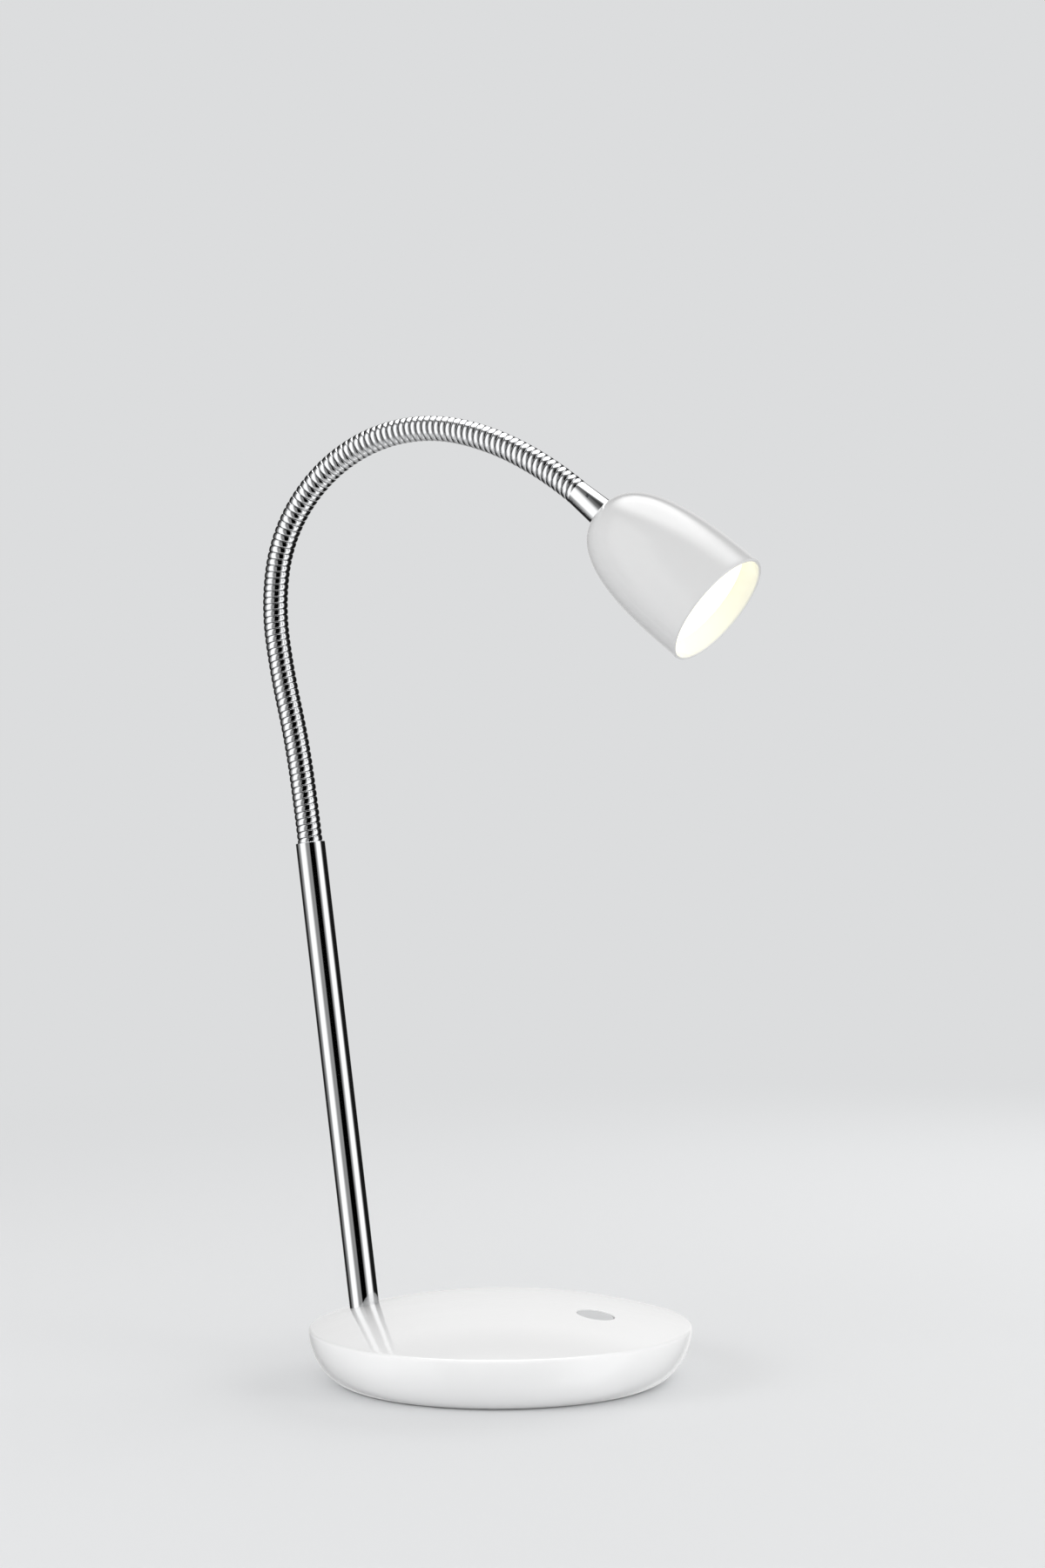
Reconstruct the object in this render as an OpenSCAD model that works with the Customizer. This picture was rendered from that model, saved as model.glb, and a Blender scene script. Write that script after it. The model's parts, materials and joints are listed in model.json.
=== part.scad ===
// Gooseneck desk lamp: a weighted round foot, a leaning tube, a ribbed
// bendable neck and a bullet shade with an LED lamp inside.
// Millimetres. +Z up, origin on the desk under the middle of the foot,
// +X from the tube towards the side that the lamp lights.

/* [Foot] */
// Radius of the foot at its widest
base_r = 75.3; // [68:0.1:90]
// Radius of the flat ring that the shell ends in at the desk
base_foot_r = 61.6; // [56:0.1:63]
// Height of the widest circle
rim_z = 19.2; // [17:0.1:24]
// Rounding between the side and the top
rim_fillet = 1.4; // [1:0.1:4]
// Rise of the domed top above the widest circle
dome_rise = 12.2; // [11:0.1:16]
// Fullness of the side curve, 2 is an ellipse
side_power = 1.75; // [1.5:0.01:2.5]
// Wall of the moulded shell
shell_wall = 2.4; // [1.8:0.1:3]
// Height of the shell's lower edge above the desk
shell_gap = 0.5; // [0.3:0.1:1]

/* [Bottom] */
// Thickness of the foam pad
pad_t = 1.5; // [1.2:0.1:2]
// Thickness of the steel bottom plate
plate_t = 2; // [1.8:0.1:2.4]
// Radial gap round the bottom plate
plate_gap = 0.3; // [0.2:0.05:0.5]
// Radius of the opening that the plate closes
plate_hole_r = 58.2; // [54:0.1:59]
// Radius of the cast weight
weight_r = 47; // [42:0.5:48]
// Thickness of the cast weight
weight_t = 9; // [7:0.5:9.5]
// Radius of the circle of screw posts
post_pcd_r = 53; // [52.5:0.1:53.5]
// Diameter of a screw post
post_d = 8; // [7:0.1:8.4]

/* [Tube] */
// Distance of the tube from the middle, where it meets the top
foot_x = 58.4; // [56:0.1:60]
// Lean of the tube, away from the middle
lean = 7.1; // [4:0.1:10]
// Outer diameter of the tube
tube_d = 12; // [11.8:0.1:12.6]
// Wall of the tube
tube_wall = 0.8; // [0.7:0.02:0.84]
// Length of tube above the top of the foot
tube_len = 186.8; // [150:0.1:230]
// Depth of the seat that the tube stands in
seat_depth = 3; // [2:0.1:4]

/* [Gooseneck] */
// Outer diameter of the gooseneck
neck_d = 10.28; // [10:0.02:10.3]
// Length of the gooseneck outside the tube
neck_len = 280; // [240:1:320]
// Turn of the bent neck about the tube, as left by hand
neck_twist = -5.4; // [-20:0.1:20]
// Turns of the band in each piece
turns = 10; // [8:1:11]
// Width of the round wire in the groove
wire_d = 0.8; // [0.6:0.05:0.9]
// Diameter of the ball where two pieces meet
ball_d = 8.8; // [8.4:0.05:8.9]
// Gap between ball and socket
ball_gap = 0.06; // [0.04:0.01:0.09]
// Bore of the gooseneck
neck_bore = 5.8; // [5:0.1:6]
// Diameter of the lead inside
lead_d = 2.6; // [2:0.1:2.8]

/* [Head] */
// Length of collar that shows between the neck and the shade
collar_len = 14.7; // [12:0.1:18]
// Diameter of the collar at the neck
collar_d1 = 10.1; // [9.8:0.05:10.3]
// Diameter of the collar at the shade
collar_d2 = 11.9; // [11.4:0.05:12.6]
// Length of the shade
shade_len = 60.6; // [56:0.5:72]
// Radius of the shade at its rim
shade_r = 23.9; // [23:0.1:30]
// Wall of the shade
shade_wall = 1.3; // [1:0.05:1.6]
// How quickly the shade opens at its back
shade_shoulder = 1.95; // [1.7:0.05:2.3]
// How early the shade's side runs straight
shade_side = 3; // [2.4:0.1:3.4]
// Depth of the diffuser behind the rim
diffuser_depth = 8.5; // [6:0.1:11]
// Thickness of the diffuser
diffuser_t = 1.6; // [1.2:0.1:2]

/* [Switch] */
// Distance of the button ahead of the middle
button_x = 42; // [38:0.5:44]
// Distance of the button from the middle line, minus is towards -Y
button_y = -6.9; // [-10:0.1:0]
// Diameter of the button
button_d = 14.4; // [12:0.1:15]
// Depth of the button's face below the top of the foot
button_sink = 0.35; // [0.2:0.05:0.6]
// Travel of the button
button_travel = 1.2; // [0.6:0.1:1.2]
// Radial gap round the button
button_gap = 0.15; // [0.1:0.01:0.25]

/* [Hidden] */
$fn = 48;
// Bend of each tenth of the gooseneck in degrees, lowest first
bends = [-1.5, -5, 5.5, 17.5, 26.5, 24, 23.5, 22, 13.5, 10.5];
pieces = len(bends);
piece_len = neck_len / pieces;

eps = 0.01;
over = 1;
face_gap = 0.1;
steel = "silver";
plastic = "white";

// Heights in the foot, from the desk up
plate_z = pad_t;
weight_z = plate_z + plate_t;
weight_top = weight_z + weight_t;
spacer_h = 3;
board_z = weight_top + spacer_h;
board_t = 1.6;
board_top = board_z + board_t;

// The dome is part of a sphere that runs tangent into the rim rounding
fillet_x = base_r - rim_fillet;
dome_r = (pow(fillet_x, 2) + pow(dome_rise, 2) - pow(rim_fillet, 2)) / (2 * (dome_rise - rim_fillet));
dome_zc = rim_z + dome_rise - dome_r;
rim_angle = asin(fillet_x / (dome_r - rim_fillet));
side_steps = 18;
fillet_steps = 8;
dome_steps = 22;

// Screws
screw_d = 3;
screw_len = 10;
csk_d = 5.6;
csk_h = 1.4;
pilot_d = 2.6;
weight_screw_d = 4;
weight_screw_pcd_r = 34;
weight_screw_csk_d = 7.4;
weight_screw_csk_h = 1.7;

// Tube and its clamp
tube_r = tube_d / 2;
tube_bore_r = tube_r - tube_wall;
foot_z = dome_z(foot_x);
nipple_r = 5;
nipple_bore_r = 3.6;
nipple_up = 12;
boss_r = 9;
boss_len = 9;
washer_t = 1;
washer_r = 8;
nut_t = 4;
nut_af = 14;
nipple_down = boss_len + washer_t + nut_t + 1;
fit_gap = 0.1;
press_gap = 0.02;
slip_gap = 0.06;
thread_gap = 0.05;

// Gooseneck
neck_r = neck_d / 2;
ball_r = ball_d / 2;
socket_r = ball_r + ball_gap;
bore_r = neck_bore / 2;
stem_r = 3.95;
sleeve_r = 4.6;
stem_len = 2.1;
sleeve_bore_r = bore_r + 0.2;
wire_rise = 0.34;
sleeve_inset = 0.25;
band_edge_r = neck_r - 0.24;
band_share = 0.67;
pitch = (piece_len - stem_len) / turns;
insert_len = 14;
ferrule_len = 8;
spigot_len = 8;
lead_r = lead_d / 2;
lead_ball_r = lead_r + 0.15;
lead_ball_gap = 0.1;
lead_cut = 0.2;

// Collar and shade seat
seat_r = collar_d2 / 2;
thread_r = 4.5;
thread_len = 9;
shade_hole_gap = 0.1;
collar_bore_r = stem_r + slip_gap;
collar_lead_r = 2.2;
grub_d = 1.5;
grub_len = 1.4;
grub_z = 6.6;
grub_turn = -118;
shade_steps = 26;
shade_floor = 2;
lock_washer_t = 0.8;
lock_washer_r = 7;
head_nut_t = 3;
head_nut_af = 13;

// Lamp inside the shade, placed from the rim back
diffuser_z = shade_len - diffuser_depth - diffuser_t;
reflector_len = 13;
reflector_t = 1;
reflector_small_r = 9.5;
flange_t = 1.2;
reflector_z = diffuser_z - reflector_len;
led_board_t = 1.2;
led_board_r = 14.5;
led_board_z = reflector_z - led_board_t;
led_r = 6.5;
led_t = 1;
sink_t = 4;
sink_len = 14;
sink_hub_r = 7;
sink_z = led_board_z - sink_len;
fin_count = 16;
fin_t = 1.2;
led_screw_r = 11.8;
led_screw_d = 2;
inner_gap = 0.3;

// Switch
button_r = button_d / 2;
button_boss_r = button_r + 3;
button_rel = norm([button_x, button_y]);
button_edge_z = dome_z(button_rel + button_boss_r) - shell_wall;
flange_gap = 0.3;
button_flange_r = button_r + 1.3;
button_flange_t = 1;
button_flange_top = button_edge_z - flange_gap;
button_foot_z = button_flange_top - button_flange_t - 1;
plunger_r = 1.8;
switch_w = 12;
switch_gap = 0.2;
switch_h = button_foot_z - button_travel - switch_gap - board_top;

// Driver board
board_x1 = -22;
board_x2 = 50;
board_w = 38;
spacer_x1 = -17;
spacer_x2 = 27;
spacer_y = 14.5;
spacer_r = 2.6;

// Cord gland in the back of the foot
gland_turn = 150;
gland_z = 12.8;
gland_bore_r = 2.9;
gland_r = 4.2;
gland_flange_r = 5.6;
gland_in = 4.5;
gland_lip = 1.4;

// ---------- Foot outline ----------

// Height of the dome's surface at a distance from the middle
function dome_z(r, inset = 0) = dome_zc + sqrt(pow(dome_r - inset, 2) - pow(r, 2));

// Radius of the side at a height, moved in by a wall
function side_r(z, inset = 0) =
    let (t = 1 - (z - inset) / (rim_z - inset))
    base_foot_r + (base_r - inset - base_foot_r) * pow(1 - pow(t, side_power), 1 / side_power);

// Heights spaced closer where the side turns quickly
function side_z(k, inset, low) = low + (rim_z - low) * (1 - cos(90 * k / side_steps));

function outer_outline() = concat(
    [[0, shell_gap]],
    [for (k = [0:side_steps]) let (z = side_z(k, 0, shell_gap)) [side_r(z), z]],
    [for (k = [1:fillet_steps]) let (a = (90 - rim_angle) * k / fillet_steps)
        [fillet_x + rim_fillet * cos(a), rim_z + rim_fillet * sin(a)]],
    [for (k = [1:dome_steps]) let (a = rim_angle * (1 - k / dome_steps))
        [dome_r * sin(a), dome_zc + dome_r * cos(a)]]);

function inner_outline() = concat(
    [[0, shell_wall]],
    [for (k = [0:side_steps]) let (z = side_z(k, shell_wall, shell_wall)) [side_r(z, shell_wall), z]],
    [for (k = [0:dome_steps]) let (r = (base_r - shell_wall) * (1 - k / dome_steps))
        [r, max(rim_z + eps * (k == 0 ? 1 : 0), dome_z(r, shell_wall))]]);

module outer_solid() {
    rotate_extrude($fn = 96) polygon(outer_outline());
}

module inner_solid() {
    rotate_extrude($fn = 96) polygon(inner_outline());
}

// ---------- Places ----------

// Frame on the tube's axis where it meets the top, z up along the tube
module at_tube() {
    translate([-foot_x, 0, foot_z]) rotate([0, -lean, 0]) children();
}

function sum_to(list, n) = n <= 0 ? 0 : list[n - 1] + sum_to(list, n - 1);
function heading(i) = sum_to(bends, i);

// Step across one bent piece in its own frame, [sideways, along]
function arc_step(b, len) = abs(b) < eps ? [0, len] :
    let (r = len / (b * PI / 180)) [r * (1 - cos(b)), r * sin(b)];

// Middle of the neck at the start of piece i, [sideways, along]
function joint_at(i) = i <= 0 ? [0, 0] :
    let (p = joint_at(i - 1), h = heading(i - 1), s = arc_step(bends[i - 1], piece_len))
    [p[0] + s[0] * cos(h) + s[1] * sin(h), p[1] - s[0] * sin(h) + s[1] * cos(h)];

// Frame at the start of neck piece i, z along the neck and x into the bend
module at_joint(i) {
    at_tube() translate([0, 0, tube_len]) rotate([0, 0, neck_twist])
        translate([joint_at(i)[0], 0, joint_at(i)[1]]) rotate([0, heading(i), 0]) children();
}

// Frame at the end of the neck, z along the head
module at_head() {
    at_joint(pieces) children();
}

// Frame with its origin at the back of the shade
module at_shade() {
    at_head() translate([0, 0, collar_len]) children();
}

// Place on a bent piece at a distance s from its start
module on_arc(b, s) {
    a = b * s / piece_len;
    p = arc_step(a, s);
    translate([p[0], 0, p[1]]) rotate([0, a, 0]) children();
}

// ---------- Shared shapes ----------

// Ring or rod bent through an angle, from s1 to s2 along a piece
module bent_rod(b, s1, s2, outer, inner = 0) {
    if (abs(b) < eps) {
        translate([0, 0, s1]) linear_extrude(s2 - s1) ring_face(outer, inner);
    } else {
        r = piece_len / (abs(b) * PI / 180);
        a1 = abs(b) * s1 / piece_len;
        a2 = abs(b) * s2 / piece_len;
        mirror([b < 0 ? 1 : 0, 0, 0]) translate([r, 0, 0]) rotate([90, 0, 0])
            rotate_extrude(angle = a2 - a1, start = 180 - a2, $fn = 120)
                translate([r, 0]) ring_face(outer, inner);
    }
}

module ring_face(outer, inner) {
    difference() {
        circle(outer, $fn = 32);
        if (inner > 0) circle(inner, $fn = 32);
    }
}

module tube_shape(outer, inner, len) {
    difference() {
        cylinder(h = len, r = outer);
        translate([0, 0, -over]) cylinder(h = len + 2 * over, r = inner);
    }
}

module hex_nut(af, t, bore) {
    difference() {
        cylinder(h = t, r = af / 2 / cos(30), $fn = 6);
        translate([0, 0, -over]) cylinder(h = t + 2 * over, r = bore);
    }
}

// Countersunk screw, its head's face at z = 0 and its tip down
module csk_screw(d, len, head_d, head_h) {
    union() {
        translate([0, 0, -head_h]) cylinder(h = head_h, r1 = d / 2, r2 = head_d / 2);
        translate([0, 0, -len]) cylinder(h = len - head_h + eps, r = d / 2);
    }
}

// Pan head screw, its head's seat at z = 0 and its tip down
module pan_screw(d, len) {
    difference() {
        union() {
            cylinder(h = 0.6 * d, r = d * 0.95);
            translate([0, 0, -len]) cylinder(h = len + eps, r = d / 2);
        }
        translate([0, 0, 0.3 * d]) cylinder(h = d, r = 0.3 * d, $fn = 6);
    }
}

module at_posts() {
    for (k = [0:3]) rotate([0, 0, 45 + 90 * k]) translate([post_pcd_r, 0, 0]) children();
}

module at_weight_screws() {
    for (k = [0:2]) rotate([0, 0, 60 + 120 * k]) translate([weight_screw_pcd_r, 0, 0]) children();
}

module at_spacers() {
    for (x = [spacer_x1, spacer_x2], y = [-spacer_y, spacer_y]) translate([x, y, 0]) children();
}

module at_gland() {
    rotate([0, 0, gland_turn]) translate([side_r(gland_z), 0, gland_z]) rotate([0, 90, 0]) children();
}

// ---------- Foot ----------

module base_shell() {
    color(plastic) difference() {
        union() {
            difference() {
                outer_solid();
                inner_solid();
            }
            intersection() {
                outer_solid();
                union() {
                    at_posts() translate([0, 0, weight_z]) cylinder(h = rim_z + dome_rise, r = post_d / 2);
                    at_tube() translate([0, 0, -boss_len]) cylinder(h = boss_len + 4, r = boss_r);
                    translate([button_x, button_y, button_edge_z])
                        cylinder(h = dome_rise, r = button_boss_r);
                }
            }
        }
        translate([0, 0, -over]) cylinder(h = shell_wall + over + eps, r = plate_hole_r, $fn = 96);
        at_posts() translate([0, 0, weight_z - over]) cylinder(h = screw_len + over, r = pilot_d / 2);
        at_tube() {
            translate([0, 0, -seat_depth]) cylinder(h = seat_depth + 6, r = tube_r + fit_gap);
            translate([0, 0, -boss_len - over]) cylinder(h = boss_len + over, r = nipple_r + fit_gap);
        }
        translate([button_x, button_y, button_edge_z - over])
            cylinder(h = dome_rise + 2 * over, r = button_r + button_gap);
        at_gland() translate([0, 0, -gland_in - 2]) cylinder(h = gland_in + 8, r = gland_r + eps);
    }
}

module base_plate() {
    color(steel) difference() {
        translate([0, 0, plate_z]) cylinder(h = plate_t, r = plate_hole_r - plate_gap, $fn = 96);
        at_posts() screw_hole(screw_d, csk_d, csk_h);
        at_weight_screws() screw_hole(weight_screw_d, weight_screw_csk_d, weight_screw_csk_h);
    }
}

// Countersunk hole up through the bottom plate
module screw_hole(d, head_d, head_h) {
    translate([0, 0, plate_z - over]) cylinder(h = plate_t + 2 * over, r = d / 2 + fit_gap);
    translate([0, 0, plate_z]) cylinder(h = head_h, r1 = head_d / 2 + fit_gap, r2 = d / 2 + fit_gap);
    translate([0, 0, plate_z - over]) cylinder(h = over + eps, r = head_d / 2 + fit_gap);
}

module base_weight() {
    slot_x = weight_r - 9;
    color("dimgray") difference() {
        translate([0, 0, weight_z]) cylinder(h = weight_t, r = weight_r, $fn = 96);
        at_weight_screws() translate([0, 0, weight_z - over]) cylinder(h = weight_t, r = weight_screw_d / 2 - 0.3);
        at_spacers() translate([0, 0, weight_top - 5]) cylinder(h = 5 + over, r = pilot_d / 2);
        translate([-weight_r - over, -lead_d, weight_z - over])
            cube([weight_r + over - slot_x + lead_d, 2 * lead_d, weight_t + 2 * over]);
    }
}

module foot_pad() {
    color("black") cylinder(h = pad_t, r = plate_hole_r - plate_gap - 1, $fn = 96);
}

module plate_screws() {
    color(steel) at_posts() translate([0, 0, plate_z]) mirror([0, 0, 1])
        csk_screw(screw_d - 0.5, screw_len, csk_d, csk_h);
}

module weight_screws() {
    color(steel) at_weight_screws() translate([0, 0, plate_z]) mirror([0, 0, 1])
        csk_screw(weight_screw_d - 0.7, plate_t + 6, weight_screw_csk_d, weight_screw_csk_h);
}

module cord_gland() {
    color("gray") at_gland() difference() {
        union() {
            translate([0, 0, -gland_in]) cylinder(h = gland_in + gland_lip, r = gland_r - thread_gap);
            translate([0, 0, gland_lip]) cylinder(h = gland_lip, r = gland_flange_r);
        }
        translate([0, 0, -gland_in - over]) cylinder(h = gland_in + 4 * over + gland_lip, r = gland_bore_r);
    }
}

// ---------- Switch and driver ----------

module switch_button() {
    color("lightgray") translate([button_x, button_y, 0]) union() {
        intersection() {
            translate([0, 0, button_flange_top - eps]) cylinder(h = dome_rise, r = button_r);
            translate([-button_x, -button_y, dome_zc]) sphere(r = dome_r - button_sink, $fn = 200);
        }
        translate([0, 0, button_flange_top - button_flange_t])
            cylinder(h = button_flange_t, r = button_flange_r);
        translate([0, 0, button_foot_z]) cylinder(h = button_flange_top - button_foot_z - eps, r = plunger_r + 0.7);
    }
}

module switch_plunger() {
    color("black") translate([button_x, button_y, board_top + 1])
        cylinder(h = button_foot_z - board_top - 1 - face_gap / 2, r = plunger_r);
}

module switch_body() {
    color("dimgray") translate([button_x, button_y, board_top]) difference() {
        translate([-switch_w / 2, -switch_w / 2, 0]) cube([switch_w, switch_w, switch_h]);
        translate([0, 0, -over]) cylinder(h = switch_h + 2 * over, r = plunger_r + face_gap);
    }
}

module driver_board() {
    color("green") difference() {
        translate([board_x1, -board_w / 2, board_z]) cube([board_x2 - board_x1, board_w, board_t]);
        at_spacers() translate([0, 0, board_z - over]) cylinder(h = board_t + 2 * over, r = screw_d / 2 + fit_gap);
        translate([button_x, button_y, board_z - over]) cylinder(h = board_t + 2 * over, r = plunger_r + face_gap);
    }
}

module board_spacers() {
    color("gold") at_spacers() translate([0, 0, weight_top]) tube_shape(spacer_r, screw_d / 2 + fit_gap, spacer_h);
}

module board_screws() {
    color(steel) at_spacers() translate([0, 0, board_top]) pan_screw(screw_d - 0.6, board_t + spacer_h + 4);
}

module transformer() {
    core = [16, 14, 8];
    color("orange") translate([-core[0] / 2 + 4, -core[1] / 2, board_top]) union() {
        cube([core[0], core[1], 2.4]);
        translate([2, 0, 2.4 - eps]) cube([core[0] - 4, core[1], core[2] - 4.8]);
        translate([0, 0, core[2] - 2.4 - 2 * eps]) cube([core[0], core[1], 2.4]);
    }
}

module capacitors() {
    color("navy") for (y = [-10, 10]) translate([17, y, board_top]) cylinder(h = 7, r = 3.15);
}

module terminal_block() {
    color("seagreen") translate([board_x1 + 1, -5, board_top]) difference() {
        cube([7, 10, 7.5]);
        translate([-over, 5, 3.6]) rotate([0, 90, 0]) cylinder(h = 4 + over, r = lead_r + 0.2);
        for (y = [2.5, 7.5]) translate([3.5, y, 5.5]) cylinder(h = 3, r = 1.3);
    }
}

// ---------- Tube ----------

module support_tube() {
    color(steel) at_tube() translate([0, 0, -seat_depth])
        tube_shape(tube_r, tube_bore_r, tube_len + seat_depth);
}

module tube_nipple() {
    color("gold") at_tube() difference() {
        union() {
            translate([0, 0, -nipple_down]) cylinder(h = nipple_down + nipple_up - seat_depth, r = nipple_r);
            translate([0, 0, -seat_depth]) cylinder(h = nipple_up, r = tube_bore_r - press_gap);
        }
        translate([0, 0, -nipple_down - over])
            cylinder(h = nipple_down + nipple_up + 2 * over, r = nipple_bore_r);
    }
}

module tube_washer() {
    color(steel) at_tube() translate([0, 0, -boss_len - washer_t])
        tube_shape(washer_r, nipple_r + fit_gap, washer_t);
}

module tube_nut() {
    color(steel) at_tube() translate([0, 0, -boss_len - washer_t - nut_t])
        hex_nut(nut_af, nut_t, nipple_r + thread_gap);
}

module neck_ferrule() {
    color("gold") at_tube() translate([0, 0, tube_len - insert_len - ferrule_len])
        tube_shape(tube_bore_r - press_gap, bore_r, ferrule_len);
}

// ---------- Gooseneck ----------

// One turn of the wound band: a flat strip with a gently domed face
module band_turn() {
    half = pitch * band_share / 2;
    steps = 3;
    rotate_extrude($fn = 40) polygon(concat(
        [[bore_r, -half]],
        [for (k = [-steps:steps]) let (t = k / steps)
            [band_edge_r + (neck_r - band_edge_r) * (1 - t * t), t * half]],
        [[bore_r, half]]));
}

// The round wire in the groove between two bands, on the sleeve below them
module wire_turn() {
    half = pitch / 2 - sleeve_inset;
    steps = 4;
    rotate_extrude($fn = 40) polygon(concat(
        [[sleeve_bore_r, -half], [sleeve_r, -half]],
        [for (k = [0:steps]) let (a = 180 * k / steps)
            [sleeve_r + wire_rise * sin(a), -wire_d / 2 * cos(a)]],
        [[sleeve_r, half], [sleeve_bore_r, half]]));
}

// One tenth of the gooseneck: a ball at its upper end turns in the socket of
// the next piece, and a short stem under the ball leaves room for the turn
module neck_piece(i) {
    b = bends[i];
    first = i == 0;
    last = i == pieces - 1;
    color(steel) at_joint(i) difference() {
        union() {
            if (first) neck_foot();
            if (!first) tube_shape(sleeve_r, sleeve_bore_r, pitch / 2 - sleeve_inset);
            for (k = [0:turns - 1]) on_arc(b, (k + 0.5) * pitch) band_turn();
            for (k = [1:turns - 1]) on_arc(b, k * pitch) wire_turn();
            on_arc(b, piece_len) {
                if (last) neck_top();
                if (!last) ball_end();
            }
        }
        if (!first) sphere(r = socket_r);
    }
}

// Plain end that sits inside the support tube
module neck_foot() {
    translate([0, 0, -insert_len]) tube_shape(tube_bore_r - slip_gap, sleeve_bore_r, insert_len);
    translate([0, 0, -pitch]) tube_shape(stem_r, sleeve_bore_r, 1.5 * pitch - sleeve_inset);
}

// Plain end that sits inside the collar
module neck_top() {
    reach = stem_len + pitch / 2 - sleeve_inset;
    translate([0, 0, -reach]) tube_shape(stem_r, sleeve_bore_r, reach + spigot_len);
    translate([0, 0, -stem_len + 0.3]) tube_shape(sleeve_r, sleeve_bore_r - 0.1, stem_len - 0.3);
}

// Ball with a flat mouth on a short stem
module ball_end() {
    reach = stem_len + pitch / 2 - sleeve_inset;
    mouth_z = sqrt(pow(ball_r, 2) - pow(sleeve_bore_r + 0.3, 2));
    difference() {
        union() {
            sphere(r = ball_r);
            translate([0, 0, -reach]) cylinder(h = reach, r = stem_r);
        }
        translate([0, 0, -ball_d]) cylinder(h = 2 * ball_d, r = sleeve_bore_r);
        translate([0, 0, mouth_z]) cylinder(h = ball_r, r = ball_r);
    }
}

// Lead inside one piece of the neck, ending in a small ball at the joint
module lead_piece(i) {
    b = bends[i];
    first = i == 0;
    last = i == pieces - 1;
    color("white") at_joint(i) difference() {
        union() {
            bent_rod(b, first ? lead_cut : 0, piece_len - (last ? lead_cut : 0), lead_r);
            on_arc(b, piece_len) sphere(r = lead_ball_r);
            if (last) on_arc(b, piece_len) translate([0, 0, lead_cut])
                cylinder(h = collar_len + led_board_z - lead_cut, r = lead_r);
            if (first) lead_below();
        }
        if (!first) sphere(r = lead_ball_r + lead_ball_gap);
    }
}

// Lead down the tube, round under the nut and up to the terminal block, drawn
// in the frame of the neck's start
module lead_below() {
    down = tube_len + nipple_down + 1;
    sphere(r = lead_ball_r);
    translate([0, 0, -down + lead_cut]) cylinder(h = down - 2 * lead_cut, r = lead_r);
    rotate([0, 0, -neck_twist]) translate([0, 0, -down]) rotate([0, lean, 0]) foot_lead();
}

// The stretch in the foot in an upright frame: round, along, up and over
module foot_lead() {
    bend_r = 3.5;
    from = [-foot_x + (nipple_down + 1) * sin(lean), foot_z - (nipple_down + 1) * cos(lean)];
    mid = [bend_r * cos(lean), bend_r * sin(lean)];
    rise_x = -weight_r + 3.6 - from[0];
    top_z = board_top + 3.6 - from[1];
    end_x = board_x1 + 4 - from[0];
    low_z = mid[1] - bend_r;
    lead_bend(mid, bend_r, 180 + lean, 90 - lean);
    lead_run([mid[0], low_z], [rise_x - bend_r, low_z]);
    lead_bend([rise_x - bend_r, mid[1]], bend_r, 270, 90);
    lead_run([rise_x, mid[1]], [rise_x, top_z - bend_r]);
    lead_bend([rise_x + bend_r, top_z - bend_r], bend_r, 90, 90);
    lead_run([rise_x + bend_r, top_z], [end_x, top_z]);
}

// Straight run between two points of the upright plane
module lead_run(p, q) {
    d = q - p;
    translate([p[0], 0, p[1]]) rotate([0, atan2(d[0], d[1]), 0])
        translate([0, 0, lead_cut]) cylinder(h = norm(d) - lead_cut, r = lead_r);
}

// Bend of the lead in the upright plane, with a small ball at each end
module lead_bend(centre, r, from, sweep) {
    translate([centre[0], 0, centre[1]]) rotate([90, 0, 0]) {
        rotate_extrude(angle = sweep, start = from) translate([r, 0]) circle(lead_r, $fn = 20);
        for (a = [from, from + sweep]) rotate([0, 0, a]) translate([r, 0, 0]) sphere(r = lead_ball_r);
    }
}

// ---------- Head ----------

module head_collar() {
    color(steel) at_head() difference() {
        union() {
            cylinder(h = collar_len, r1 = collar_d1 / 2, r2 = seat_r);
            cylinder(h = collar_len + thread_len, r = thread_r);
        }
        translate([0, 0, -over]) cylinder(h = spigot_len + fit_gap + over, r = collar_bore_r);
        translate([0, 0, -over]) cylinder(h = collar_len + thread_len + 2 * over, r = collar_lead_r);
        at_grub() cylinder(h = 4, r = grub_d / 2 + press_gap);
    }
}

// Frame on the collar's side, z outwards
module at_grub() {
    rotate([0, 0, grub_turn]) translate([stem_r + 0.1, 0, grub_z]) rotate([0, 90, 0]) children();
}

module collar_screw() {
    color("gray") at_head() at_grub() difference() {
        cylinder(h = grub_len - 0.4, r = grub_d / 2);
        translate([0, 0, grub_len - 1]) cylinder(h = 2, r = grub_d / 4, $fn = 6);
    }
}

// Radius of the shade at a distance from its back
function shade_outer(s) =
    let (t = min(1, s / shade_len))
    seat_r + (shade_r - seat_r) * pow(1 - pow(1 - t, shade_side), 1 / shade_shoulder);

// Radius of the shade's hollow at a distance from its back
function shade_inner(s) = shade_outer(s - shade_wall * (1 - s / shade_len)) - shade_wall;

// Distances from the back, closer where the shade opens quickly
function shade_s(k) = shade_len * pow(k / shade_steps, 2);

module shade() {
    inner_from = shade_floor + 1;
    color(plastic) at_shade() difference() {
        rotate_extrude($fn = 96) polygon(concat(
            [[0, 0]],
            [for (k = [0:shade_steps]) [shade_outer(shade_s(k)), shade_s(k)]],
            [[0, shade_len]]));
        rotate_extrude($fn = 96) polygon(concat(
            [[0, shade_floor], [lock_washer_r + 1, shade_floor]],
            [for (k = [0:shade_steps]) let (s = shade_s(k))
                if (s > inner_from && shade_inner(s) > lock_washer_r + 1) [shade_inner(s), s]],
            [[shade_inner(shade_len), shade_len + over], [0, shade_len + over]]));
        translate([0, 0, -over]) cylinder(h = shade_floor + 2 * over, r = thread_r + shade_hole_gap);
    }
}

module shade_washer() {
    color(steel) at_shade() translate([0, 0, shade_floor])
        tube_shape(lock_washer_r, thread_r + thread_gap, lock_washer_t);
}

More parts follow.
